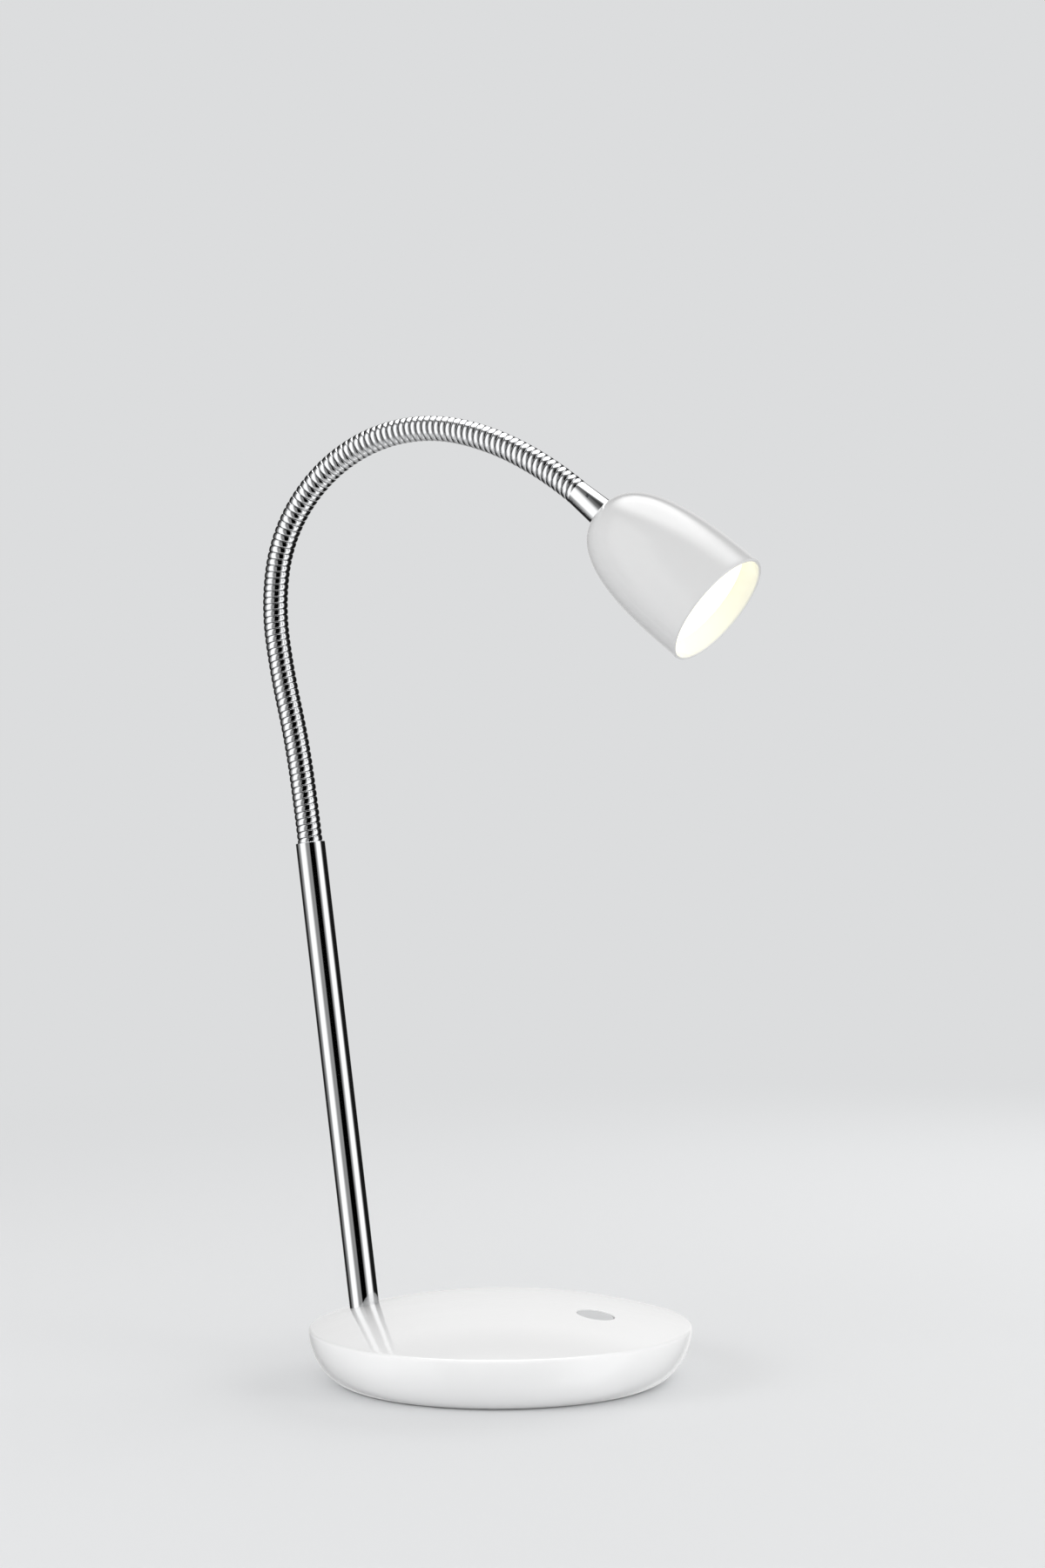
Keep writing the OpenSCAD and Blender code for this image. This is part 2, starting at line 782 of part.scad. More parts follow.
module shade_nut() {
    color("gold") at_shade() translate([0, 0, shade_floor + lock_washer_t])
        hex_nut(head_nut_af, head_nut_t, thread_r + thread_gap);
}

// Finned slug that seats in the shade's taper and carries the LED board
module heat_sink() {
    fin_r = min(led_board_r + 2, shade_inner(sink_z) - 1.5);
    flange_r = shade_inner(led_board_z - sink_t) - inner_gap / 2;
    color("silver") at_shade() translate([0, 0, sink_z]) difference() {
        union() {
            cylinder(h = sink_len, r = sink_hub_r);
            translate([0, 0, sink_len - sink_t]) cylinder(h = sink_t, r = flange_r);
            for (k = [0:fin_count - 1]) rotate([0, 0, 360 * k / fin_count])
                translate([sink_hub_r - 1, -fin_t / 2, 0])
                    cube([fin_r - sink_hub_r, fin_t, sink_len - sink_t + eps]);
        }
        translate([0, 0, -over]) cylinder(h = sink_len + 2 * over, r = collar_lead_r);
        for (a = [0, 180]) rotate([0, 0, a]) translate([led_screw_r, 0, sink_len - sink_t])
            cylinder(h = sink_t + over, r = led_screw_d / 2 - 0.2);
    }
}

module led_board() {
    color("white") at_shade() translate([0, 0, led_board_z]) difference() {
        cylinder(h = led_board_t, r = led_board_r);
        for (a = [0, 180]) rotate([0, 0, a]) translate([led_screw_r, 0, -over])
            cylinder(h = led_board_t + 2 * over, r = led_screw_d / 2 + fit_gap);
    }
}

module led_chip() {
    color("yellow") at_shade() translate([0, 0, led_board_z + led_board_t]) cylinder(h = led_t, r = led_r);
}

module led_screws() {
    color(steel) at_shade() for (a = [0, 180]) rotate([0, 0, a])
        translate([led_screw_r, 0, led_board_z + led_board_t]) pan_screw(led_screw_d - 0.5, 4);
}

// White cone between the LED board and the diffuser, with a seat for its edge
module reflector() {
    wide = shade_inner(diffuser_z) - inner_gap;
    color("white") at_shade() translate([0, 0, reflector_z]) difference() {
        union() {
            cylinder(h = reflector_len, r1 = reflector_small_r + reflector_t, r2 = wide - 1);
            translate([0, 0, reflector_len - flange_t]) cylinder(h = flange_t, r = wide - 0.2);
        }
        translate([0, 0, -eps]) cylinder(h = reflector_len + 2 * eps, r1 = reflector_small_r, r2 = wide - 1 - reflector_t);
        for (a = [0, 180]) rotate([0, 0, a]) translate([led_screw_r, 0, -over]) cylinder(h = 4, r = led_screw_d + 0.2);
    }
}

module diffuser() {
    color("lightyellow") at_shade() translate([0, 0, diffuser_z])
        cylinder(h = diffuser_t, r = shade_inner(diffuser_z) - inner_gap / 2);
}

// ---------- Assembly ----------

base_shell();
base_plate();
base_weight();
foot_pad();
plate_screws();
weight_screws();
cord_gland();
switch_button();
switch_plunger();
switch_body();
driver_board();
board_spacers();
board_screws();
transformer();
capacitors();
terminal_block();
support_tube();
tube_nipple();
tube_washer();
tube_nut();
neck_ferrule();
for (i = [1:pieces]) neck_piece(i - 1);
for (i = [1:pieces]) lead_piece(i - 1);
head_collar();
collar_screw();
shade();
shade_washer();
shade_nut();
heat_sink();
led_board();
led_chip();
led_screws();
reflector();
diffuser();
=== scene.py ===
"""Visual model of a gooseneck desk lamp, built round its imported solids.

The white foot, the button, the chrome tube, the wound neck, the collar and the
shade are modelled here as smooth pieces, and every solid that stays gets a
finish of its own. Lengths are in metres, +Z is up, and the origin is on the
desk under the middle of the foot.
"""

import json
import logging
import math
from dataclasses import dataclass
from enum import Enum
from typing import Callable

import bpy
from mathutils import Euler, Matrix, Vector


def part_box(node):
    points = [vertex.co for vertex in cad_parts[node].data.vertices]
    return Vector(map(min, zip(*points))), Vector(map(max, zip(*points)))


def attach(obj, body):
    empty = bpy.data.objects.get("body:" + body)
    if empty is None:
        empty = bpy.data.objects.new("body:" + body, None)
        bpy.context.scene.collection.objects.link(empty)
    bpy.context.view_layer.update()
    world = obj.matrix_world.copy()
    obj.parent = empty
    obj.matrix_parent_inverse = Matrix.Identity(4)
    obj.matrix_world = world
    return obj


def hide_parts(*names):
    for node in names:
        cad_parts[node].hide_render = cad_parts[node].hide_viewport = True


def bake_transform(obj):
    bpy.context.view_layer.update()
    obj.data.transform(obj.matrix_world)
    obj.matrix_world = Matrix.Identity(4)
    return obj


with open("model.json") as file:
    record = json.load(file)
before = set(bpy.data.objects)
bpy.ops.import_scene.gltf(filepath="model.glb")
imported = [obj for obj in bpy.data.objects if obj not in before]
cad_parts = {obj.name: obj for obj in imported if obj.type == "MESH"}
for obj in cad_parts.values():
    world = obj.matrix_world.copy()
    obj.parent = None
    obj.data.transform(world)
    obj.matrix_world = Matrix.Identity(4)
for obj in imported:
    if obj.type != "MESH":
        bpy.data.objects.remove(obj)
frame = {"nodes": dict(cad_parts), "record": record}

log = logging.getLogger("lamp")
MM = 0.001
NEAR = 1e-6  # Two places closer than this count as one
Piece = bpy.types.Object
Tree = bpy.types.NodeTree
Socket = bpy.types.NodeSocket
Point = tuple[float, float, float]
Profile = list[tuple[float, float]]
Stops = tuple[tuple[float, float], ...]


def linear(hex_colour: str) -> tuple[float, float, float, float]:
    """Turn an sRGB hex colour into linear light.

    Args:
        hex_colour: Six hex digits.

    Returns:
        Red, green, blue and alpha as linear values.
    """
    values = []
    for start in (0, 2, 4):
        value = int(hex_colour[start : start + 2], 16) / 255
        values.append(value / 12.92 if value <= 0.04045 else ((value + 0.055) / 1.055) ** 2.4)
    return values[0], values[1], values[2], 1.0


def blank_tree(owner: bpy.types.Material | bpy.types.World) -> Tree:
    """Give a material or the world an empty node tree.

    Args:
        owner: Material or world.

    Returns:
        Its node tree.
    """
    owner.use_nodes = True
    owner.node_tree.nodes.clear()
    return owner.node_tree


def add_node(
    tree: Tree, kind: str, inputs: dict | None = None, **settings: object
) -> bpy.types.Node:
    """Add a shader node with its settings, values and links.

    Args:
        tree: Node tree that gets the node.
        kind: Blender's name of the node type, after its ShaderNode.
        inputs: By the name or number of the input, a value, an output socket,
            or a node whose first output is meant.
        **settings: Attributes of the node.

    Returns:
        The new node.
    """
    node = tree.nodes.new(f"ShaderNode{kind}")
    for name, value in settings.items():
        setattr(node, name, value)
    for socket, value in (inputs or {}).items():
        if isinstance(value, bpy.types.Node):
            value = value.outputs[0]
        if isinstance(value, Socket):
            tree.links.new(value, node.inputs[socket])
        else:
            node.inputs[socket].default_value = value
    return node


# ---------- Finishes ----------


class Grain(Enum):
    """How the fine relief of a surface runs."""

    EVEN = "even"
    ALONG_Z = "along_z"
    CAST = "cast"


# What all finishes share: the middle of a noise's range, where the clouds lie,
# how far a grain is drawn out along its lines, the depth of the relief as a
# share of its size, and the roughness of a thin gloss film.
CLOUD_LOW, CLOUD_HIGH = 0.3, 0.7
LINE_STRETCH = 0.03
RELIEF_DEPTH = 0.2
FILM_ROUGHNESS = 0.04


@dataclass(frozen=True)
class Finish:
    """One real material and the way its surface was made.

    Attributes:
        name: Material and process in plain words.
        colour: sRGB hex colour of the bulk.
        second: sRGB hex colour that the bulk drifts to in soft clouds.
        metallic: 1 for bare metal, 0 otherwise.
        roughness: Middle of the roughness.
        roughness_drift: How far smudges and wear move the roughness.
        ior: Index of refraction of what isn't metal.
        grain: How the fine relief runs.
        grain_mm: Size of the fine relief in millimetres.
        relief: Strength of the fine relief.
        cloud_mm: Size of the soft colour clouds in millimetres.
        coat: Weight of a clear coat.
        glow: sRGB hex colour of light that the surface gives off.
        glow_strength: Strength of that light.
    """

    name: str
    colour: str
    second: str
    metallic: float = 0.0
    roughness: float = 0.4
    roughness_drift: float = 0.05
    ior: float = 1.5
    grain: Grain = Grain.EVEN
    grain_mm: float = 1.0
    relief: float = 0.02
    cloud_mm: float = 30.0
    coat: float = 0.0
    glow: str = "FFFFFF"
    glow_strength: float = 0.0

    def material(self) -> bpy.types.Material:
        """Build the Blender material on its first use.

        Returns:
            The material, the same one each time.
        """
        known = bpy.data.materials.get(self.name)
        if known is not None:
            return known
        made = bpy.data.materials.new(self.name)
        tree = blank_tree(made)
        place = add_node(tree, "TexCoord").outputs["Object"]
        clouds = add_node(
            tree,
            "TexNoise",
            {"Vector": place, "Scale": 1 / (self.cloud_mm * MM), "Detail": 4.0, "Roughness": 0.55},
        ).outputs["Fac"]
        tint = add_node(
            tree,
            "Mix",
            {0: clouds, 6: linear(self.colour), 7: linear(self.second)},
            data_type="RGBA",
        )
        rough = add_node(
            tree,
            "MapRange",
            {
                "Value": clouds,
                "From Min": CLOUD_LOW,
                "From Max": CLOUD_HIGH,
                "To Min": max(0.0, self.roughness - self.roughness_drift),
                "To Max": self.roughness + self.roughness_drift,
            },
        )
        bump = add_node(
            tree,
            "Bump",
            {
                "Height": self._relief(tree, place),
                "Strength": self.relief,
                "Distance": self.grain_mm * MM * RELIEF_DEPTH,
            },
        )
        surface = add_node(
            tree,
            "BsdfPrincipled",
            {
                "Base Color": tint.outputs[2],
                "Roughness": rough,
                "Metallic": self.metallic,
                "IOR": self.ior,
                "Coat Weight": self.coat,
                "Coat Roughness": FILM_ROUGHNESS,
                "Emission Color": linear(self.glow),
                "Emission Strength": self.glow_strength,
                "Normal": bump,
            },
        )
        add_node(tree, "OutputMaterial", {"Surface": surface})
        return made

    def _relief(self, tree: Tree, place: Socket) -> Socket:
        """Add the height of the fine relief.

        Args:
            tree: Node tree that gets the nodes.
            place: Socket with the place on the surface.

        Returns:
            Socket with the height.
        """
        scale = 1 / (self.grain_mm * MM)
        if self.grain is Grain.ALONG_Z:
            place = add_node(
                tree, "Mapping", {"Vector": place, "Scale": (1.0, 1.0, LINE_STRETCH)}
            ).outputs["Vector"]
        if self.grain is Grain.CAST:
            cells = add_node(tree, "TexVoronoi", {"Vector": place, "Scale": scale})
            return cells.outputs["Distance"]
        noise = add_node(
            tree, "TexNoise", {"Vector": place, "Scale": scale, "Detail": 3.0, "Roughness": 0.6}
        )
        return noise.outputs["Fac"]


# Gloss white ABS, moulded in a polished tool: a clean reflection over a white
# bulk, with a trace of the slow waviness that moulding leaves.
GLOSS_ABS = Finish(
    "gloss_white_abs_moulded", "F6F6F6", "F4F4F4", roughness=0.035, roughness_drift=0.01,
    grain_mm=9.0, relief=0.03, cloud_mm=60.0,
)
# Gloss white polycarbonate of the shade, moulded: as smooth as the foot. Its greyer
# tone is painted shade, a dimmer copy of the foot's white.
SHADE_WHITE_PAINTED_DIMMER = Finish(
    "gloss_white_polycarbonate_painted_dimmer", "DADADA", "D8D8D8", roughness=0.08,
    roughness_drift=0.02, grain_mm=6.0, relief=0.02, cloud_mm=40.0,
)
# The same inside the shade, satin; its cream tint is painted warm light from the LED.
SHADE_INSIDE_PAINTED_WARM_LIGHT = Finish(
    "white_polycarbonate_painted_warm_light", "F7F6EE", "F5F4EB", roughness=0.3,
    roughness_drift=0.04, grain_mm=3.0, relief=0.02, cloud_mm=30.0,
)
# Light grey ABS from a spark-eroded tool: a fine matt grain.
SATIN_ABS = Finish(
    "satin_grey_abs_moulded", "C9CACB", "C4C5C6", roughness=0.42, roughness_drift=0.05,
    grain_mm=0.5, relief=0.12, cloud_mm=12.0,
)
# Steel tube polished and chromium plated: a mirror with faint haze and very
# fine lines from polishing along it.
CHROME_TUBE = Finish(
    "chromium_plated_steel_polished", "E8E9EA", "E4E5E6", metallic=1.0, roughness=0.035,
    roughness_drift=0.015, grain=Grain.ALONG_Z, grain_mm=0.25, relief=0.004, cloud_mm=18.0,
)
# Wound steel band, chromium plated after winding: as bright as the tube, a
# little hazier, since the turns can't be polished one by one.
CHROME_WOUND = Finish(
    "chromium_plated_steel_wound", "E8E9EA", "E2E3E5", metallic=1.0, roughness=0.045,
    roughness_drift=0.02, grain_mm=0.5, relief=0.006, cloud_mm=6.0,
)
# Painted shade of the neck's groove and bore: a dark copy of the plated steel for band edges, wire
# and liner.
STEEL_PAINTED_GROOVE_SHADE = Finish(
    "steel_wound_painted_groove_shade", "38393A", "2C2D2E", metallic=1.0, roughness=0.45, grain_mm=0.5,
    relief=0.05,
)
# Zinc plated steel sheet and screws: a dull grey metal with soft clouds.
ZINC_STEEL = Finish(
    "zinc_plated_steel_pressed", "B4B6B9", "A6A9AE", metallic=1.0, roughness=0.38,
    roughness_drift=0.1, grain_mm=0.4, relief=0.06, cloud_mm=5.0,
)
# Powder-coated sheet steel: a dark grey film with a fine orange peel.
COATED_STEEL = Finish(
    "powder_coated_steel_sheet", "5C5E60", "555759", roughness=0.5, grain_mm=0.8, relief=0.25,
)
# Cast iron with thin black paint over the grain of the sand.
CAST_IRON = Finish(
    "cast_iron_painted", "333436", "2A2B2C", metallic=0.3, roughness=0.65, grain=Grain.CAST,
    grain_mm=1.2, relief=0.5, cloud_mm=15.0,
)
# Turned brass, bare: warm metal with rings too fine to see.
BRASS = Finish(
    "brass_turned", "D8B768", "CDA95B", metallic=1.0, roughness=0.25, grain_mm=0.3,
    relief=0.05, cloud_mm=6.0,
)
# Die-cast aluminium, as it leaves the tool: pale and slightly grainy.
ALUMINIUM = Finish(
    "aluminium_die_cast", "CED0D2", "C2C4C7", metallic=1.0, roughness=0.42, grain=Grain.CAST,
    grain_mm=0.6, relief=0.1, cloud_mm=8.0,
)
# Closed-cell EVA foam: near black, quite matt, with open cut cells.
FOAM = Finish(
    "eva_foam_cut", "1D1D1E", "242425", roughness=0.9, grain=Grain.CAST, grain_mm=0.5,
    relief=0.5, cloud_mm=9.0,
)
# Black and grey nylon parts of the switch and cord bush, moulded plain.
NYLON_BLACK = Finish(
    "nylon_black_moulded", "1A1A1B", "202021", roughness=0.45, grain_mm=0.4, relief=0.08,
)
NYLON_GREY = Finish(
    "nylon_grey_moulded", "CFCFCF", "C8C8C8", roughness=0.4, grain_mm=0.4, relief=0.08,
)
# Glass-fibre board under green solder mask: a thin gloss film over a weave.
SOLDER_MASK = Finish(
    "glass_fibre_board_masked", "14552E", "114A28", roughness=0.3, grain_mm=0.45, relief=0.1,
    coat=0.3,
)
# Aluminium board of the LED under white solder mask.
WHITE_MASK = Finish(
    "aluminium_board_masked", "F1F1EC", "ECECE6", roughness=0.3, grain_mm=0.45, relief=0.05,
    coat=0.3,
)
# Polyester film wound round the transformer's core.
FILM = Finish("polyester_film_wound", "DDB233", "D3A629", roughness=0.28, grain_mm=0.8, relief=0.08)
# Heat-shrunk PVC sleeve of a capacitor.
SLEEVE = Finish("pvc_sleeve_shrunk", "1B2450", "161E45", roughness=0.25, grain_mm=1.0, relief=0.05)
# Green polyamide terminal block, moulded.
TERMINAL = Finish(
    "polyamide_green_moulded", "1F7A42", "1B6E3B", roughness=0.5, grain_mm=0.4, relief=0.1,
)
# Extruded PVC lead: soft white with a slight sheen.
PVC_LEAD = Finish(
    "pvc_white_extruded", "ECECE8", "E6E6E2", roughness=0.4, grain_mm=0.8, relief=0.05,
)
# Silicone with yellow phosphor over the LED, lit.
PHOSPHOR = Finish(
    "phosphor_silicone_cast", "F4D264", "EFC94F", roughness=0.35, grain_mm=0.3, relief=0.05,
    glow="FFF3D0", glow_strength=2.0,
)
# Polycarbonate reflector, white; its warm tint and faint glow are painted light from the LED.
REFLECTOR_PAINTED_GLOW = Finish(
    "white_polycarbonate_moulded", "FAF9F4", "F7F6F0", roughness=0.3, grain_mm=0.8,
    relief=0.03, glow="FFFBE6", glow_strength=0.4,
)
# Opal acrylic disc, lit from behind: white all over and softly warm.
OPAL = Finish(
    "opal_acrylic_lit", "FDFDFA", "FAFAF6", roughness=0.35, grain_mm=0.6, relief=0.05,
    glow="FFF9C8", glow_strength=1.3,
)

FINISH_OF_SLOT: dict[str, Finish] = {
    "white_shell": GLOSS_ABS,
    "button_grey": SATIN_ABS,
    "chrome_tube": CHROME_TUBE,
    "chrome_neck": CHROME_WOUND,
    "steel_plate": COATED_STEEL,
    "cast_iron": CAST_IRON,
    "zinc_steel": ZINC_STEEL,
    "brass_part": BRASS,
    "foam_rubber": FOAM,
    "black_plastic": NYLON_BLACK,
    "grey_plastic": NYLON_GREY,
    "board_green": SOLDER_MASK,
    "tape_yellow": FILM,
    "cap_sleeve": SLEEVE,
    "terminal_green": TERMINAL,
    "lead_sheath": PVC_LEAD,
    "sink_alu": ALUMINIUM,
    "board_white": WHITE_MASK,
    "led_phosphor": PHOSPHOR,
    "reflector_white": REFLECTOR_PAINTED_GLOW,
    "diffuser_opal": OPAL,
}


# ---------- Modelling steps ----------


class Bench:
    """Modelling steps that the pieces share, each made with Blender's operators."""

    @staticmethod
    def clear() -> None:
        """Go back to object mode and deselect everything."""
        active = bpy.context.view_layer.objects.active
        if active is not None and active.mode != "OBJECT":
            bpy.ops.object.mode_set(mode="OBJECT")
        bpy.ops.object.select_all(action="DESELECT")

    @staticmethod
    def pick(piece: Piece) -> None:
        """Make one piece the selected and active one.

        Args:
            piece: Piece to pick.
        """
        Bench.clear()
        piece.select_set(True)
        bpy.context.view_layer.objects.active = piece

    @staticmethod
    def edit(piece: Piece) -> None:
        """Open one piece in edit mode with all of it selected.

        Args:
            piece: Piece to open.
        """
        Bench.pick(piece)
        bpy.ops.object.mode_set(mode="EDIT")
        bpy.ops.mesh.select_all(action="SELECT")

    @staticmethod
    def join(piece: Piece, *others: Piece) -> None:
        """Join other pieces into one.

        Args:
            piece: Piece that stays.
            *others: Pieces that become a part of it.
        """
        Bench.pick(piece)
        for other in others:
            other.select_set(True)
        bpy.ops.object.join()

    @staticmethod
    def select_edges(piece: Piece, wanted: Callable[[Vector], bool]) -> None:
        """Select only the edges that lie with both ends where they are wanted.

        Args:
            piece: Piece in edit mode.
            wanted: Says by its place whether an end is wanted.
        """
        bpy.ops.mesh.select_mode(type="EDGE")
        bpy.ops.object.mode_set(mode="OBJECT")
        corners = piece.data.vertices
        for edge in piece.data.edges:
            edge.select = all(wanted(corners[end].co) for end in edge.vertices)
        bpy.ops.object.mode_set(mode="EDIT")

    @staticmethod
    def extrude(x: float, y: float, z: float) -> None:
        """Extrude what is selected by a step."""
        bpy.ops.mesh.extrude_region_move(TRANSFORM_OT_translate={"value": (x, y, z)})

    @staticmethod
    def outline(name: str, points: Profile, closed: bool) -> Piece:
        """Draw an outline in the XZ plane, one extruded corner at a time.

        Args:
            name: Name of the piece.
            points: Distance from the axis and height of each corner.
            closed: Whether the last corner joins the first.

        Returns:
            The piece, in edit mode with its outline selected.
        """
        Bench.clear()
        bpy.ops.mesh.primitive_plane_add(size=MM, location=(points[0][0], 0.0, points[0][1]))
        piece = bpy.context.active_object
        piece.name = piece.data.name = name
        bpy.ops.object.transform_apply()
        Bench.edit(piece)
        bpy.ops.mesh.select_mode(type="VERT")
        bpy.ops.mesh.merge(type="CENTER")
        path = points + points[:1] if closed else points
        for (r, z), (next_r, next_z) in zip(path, path[1:]):
            Bench.extrude(next_r - r, 0.0, next_z - z)
        bpy.ops.mesh.select_all(action="SELECT")
        bpy.ops.mesh.remove_doubles(threshold=1e-7)
        bpy.ops.mesh.select_all(action="SELECT")
        return piece

    @staticmethod
    def turned(name: str, points: Profile, steps: int, closed: bool = False) -> Piece:
        """Spin an outline round the Z axis into a closed skin.

        Args:
            name: Name of the piece.
            points: Distance from the axis and height of each corner.
            steps: Steps of the full turn.
            closed: Whether the outline is a ring that doesn't touch the axis.

        Returns:
            The piece, in object mode.
        """
        piece = Bench.outline(name, points, closed)
        bpy.ops.mesh.spin(steps=steps, angle=math.tau, center=(0, 0, 0), axis=(0, 0, 1))
        Bench.close_skin()
        return piece

    @staticmethod
    def close_skin(threshold: float = 2e-6) -> None:
        """Merge doubles, turn the faces outwards and leave edit mode.

        Args:
            threshold: Distance within which corners are merged.
        """
        bpy.ops.mesh.select_all(action="SELECT")
        bpy.ops.mesh.remove_doubles(threshold=threshold)
        bpy.ops.mesh.select_all(action="SELECT")
        bpy.ops.mesh.normals_make_consistent(inside=False)
        bpy.ops.object.mode_set(mode="OBJECT")

    @staticmethod
    def place(piece: Piece, where: Matrix) -> None:
        """Move a piece to its place and put the move into its mesh.

        Args:
            piece: Piece made at the origin.
            where: Frame that it belongs in.
        """
        Bench.pick(piece)
        piece.matrix_world = where
        bpy.ops.object.transform_apply()

    @staticmethod
    def apply(piece: Piece, kind: str, **settings: object) -> None:
        """Add a modifier with its settings and apply it.

        Args:
            piece: Piece that gets the modifier.
            kind: Blender's name of the modifier type.
            **settings: Attributes of the modifier.
        """
        Bench.pick(piece)
        modifier = piece.modifiers.new(kind.title(), kind)
        for name, value in settings.items():
            setattr(modifier, name, value)
        bpy.ops.object.modifier_apply(modifier=modifier.name)

    @staticmethod
    def smooth(piece: Piece, angle_deg: float) -> None:
        """Shade a piece smooth, with edges sharper than an angle kept."""
        Bench.pick(piece)
        bpy.ops.object.shade_smooth_by_angle(angle=math.radians(angle_deg))

    @staticmethod
    def dress(piece: Piece, *finishes: Finish) -> None:
        """Give a piece its finishes, one slot each.

        Args:
            piece: Piece to dress.
            *finishes: Its finishes, by the number of the slot.
        """
        piece.data.materials.clear()
        for finish in finishes:
            piece.data.materials.append(finish.material())

    @staticmethod
    def hand_over(
        piece: Piece, node: str, body: str, slot: str, *finishes: Finish, angle_deg: float = 40.0
    ) -> Piece:
        """Smooth and dress a piece that stands in for one solid.

        Args:
            piece: Finished shape.
            node: Solid that it stands in for.
            body: Body that it rides on.
            slot: Material slot of the solid; not used.
            *finishes: Its finishes.
            angle_deg: Angle of the sharpest edge that is smoothed.

        Returns:
            The same piece.
        """
        Bench.smooth(piece, angle_deg)
        Bench.dress(piece, *finishes)
        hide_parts(node)
        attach(piece, body)
        return piece


def arc(
    centre: tuple[float, float], radius: float, start: float, end: float, steps: int
) -> Profile:
    """Return the points of an arc, both of its ends among them.

    Args:
        centre: Middle of the arc.
        radius: Its radius.
        start: Its first angle, counted from outwards to up.
        end: Its last angle.
        steps: Steps from the first point to the last.

    Returns:
        Distance from the axis and height of each point.
    """
    angles = [start + (end - start) * k / steps for k in range(steps + 1)]
    return [(centre[0] + radius * math.cos(a), centre[1] + radius * math.sin(a)) for a in angles]


def rounded(points: Profile, radii: dict[int, float], steps: int = 5) -> Profile:
    """Round chosen corners of an outline.

    Args:
        points: Corners of the outline.
        radii: Radius by the number of the corner.
        steps: Steps in each rounding.

    Returns:
        The outline with its corners rounded.
    """
    out: Profile = []
    for index, corner in enumerate(points):
        if index not in radii:
            out.append(corner)
            continue
        here = Vector(corner)
        to_last = (Vector(points[index - 1]) - here).normalized()
        to_next = (Vector(points[(index + 1) % len(points)]) - here).normalized()
        half = to_last.angle(to_next) / 2
        back = radii[index] / math.tan(half)
        start, end = here + to_last * back, here + to_next * back
        centre = here + (to_last + to_next).normalized() * (radii[index] / math.sin(half))
        for k in range(steps + 1):
            spoke = (start - centre).lerp(end - centre, k / steps).normalized() * radii[index]
            out.append((centre.x + spoke.x, centre.y + spoke.y))
    return out


# ---------- Places ----------


@dataclass(frozen=True)
class Layout:
    """Where the tube, neck and head stand, as the solids have them.

    Attributes:
        foot_z: Height of the foot's top where the tube leaves it.
        foot_x: Distance of the tube from the middle there.
        lean_deg: Lean of the tube, away from the middle.
        tube_len: Length of tube above the top of the foot.
        twist_deg: Turn of the bent neck about the tube.
        neck_len: Length of the gooseneck outside the tube.
        bends_deg: Bend of each tenth of the gooseneck, lowest first.
        collar_len: Length of collar between the neck and the shade.
    """

    foot_z: float
    foot_x: float = 58.4 * MM
    lean_deg: float = 7.1
    tube_len: float = 186.8 * MM
    twist_deg: float = -5.4
    neck_len: float = 280 * MM
    bends_deg: tuple[float, ...] = (-1.5, -5, 5.5, 17.5, 26.5, 24, 23.5, 22, 13.5, 10.5)
    collar_len: float = 14.7 * MM

    @property
    def piece_len(self) -> float:
        """Length of one tenth of the gooseneck."""
        return self.neck_len / len(self.bends_deg)

    @property
    def at_tube(self) -> Matrix:
        """Frame on the tube's axis where it leaves the foot."""
        lean = Matrix.Rotation(-math.radians(self.lean_deg), 4, "Y")
        return Matrix.Translation((-self.foot_x, 0, self.foot_z)) @ lean

    @property
    def at_neck(self) -> Matrix:
        """Frame at the start of the neck, x into the bend."""
        twist = Matrix.Rotation(math.radians(self.twist_deg), 4, "Z")
        return self.at_tube @ Matrix.Translation((0, 0, self.tube_len)) @ twist

    @property
    def at_head(self) -> Matrix:
        """Frame at the neck's end, z along the head."""
        return self.at_neck @ self.along_neck(self.neck_len)

    @property
    def at_shade(self) -> Matrix:
        """Frame at the back of the shade."""
        return self.at_head @ Matrix.Translation((0, 0, self.collar_len))

    def along_neck(self, length: float) -> Matrix:
        """Return the place on the neck's middle line at a length from its start.

        Args:
            length: Distance along the middle line.

        Returns:
            Frame in the neck's own plane, z along the neck.
        """
        place = Matrix.Identity(4)
        left = length
        for bend in self.bends_deg:
            part = min(left, self.piece_len)
            angle = math.radians(bend) * part / self.piece_len
            step = (0.0, 0.0, part)
            if abs(angle) > 1e-9:
                radius = part / angle
                step = (radius * (1 - math.cos(angle)), 0.0, radius * math.sin(angle))
            place = place @ Matrix.Translation(step) @ Matrix.Rotation(angle, 4, "Y")
            left -= part
            if left <= 1e-9:
                break
        return place


# ---------- Foot ----------


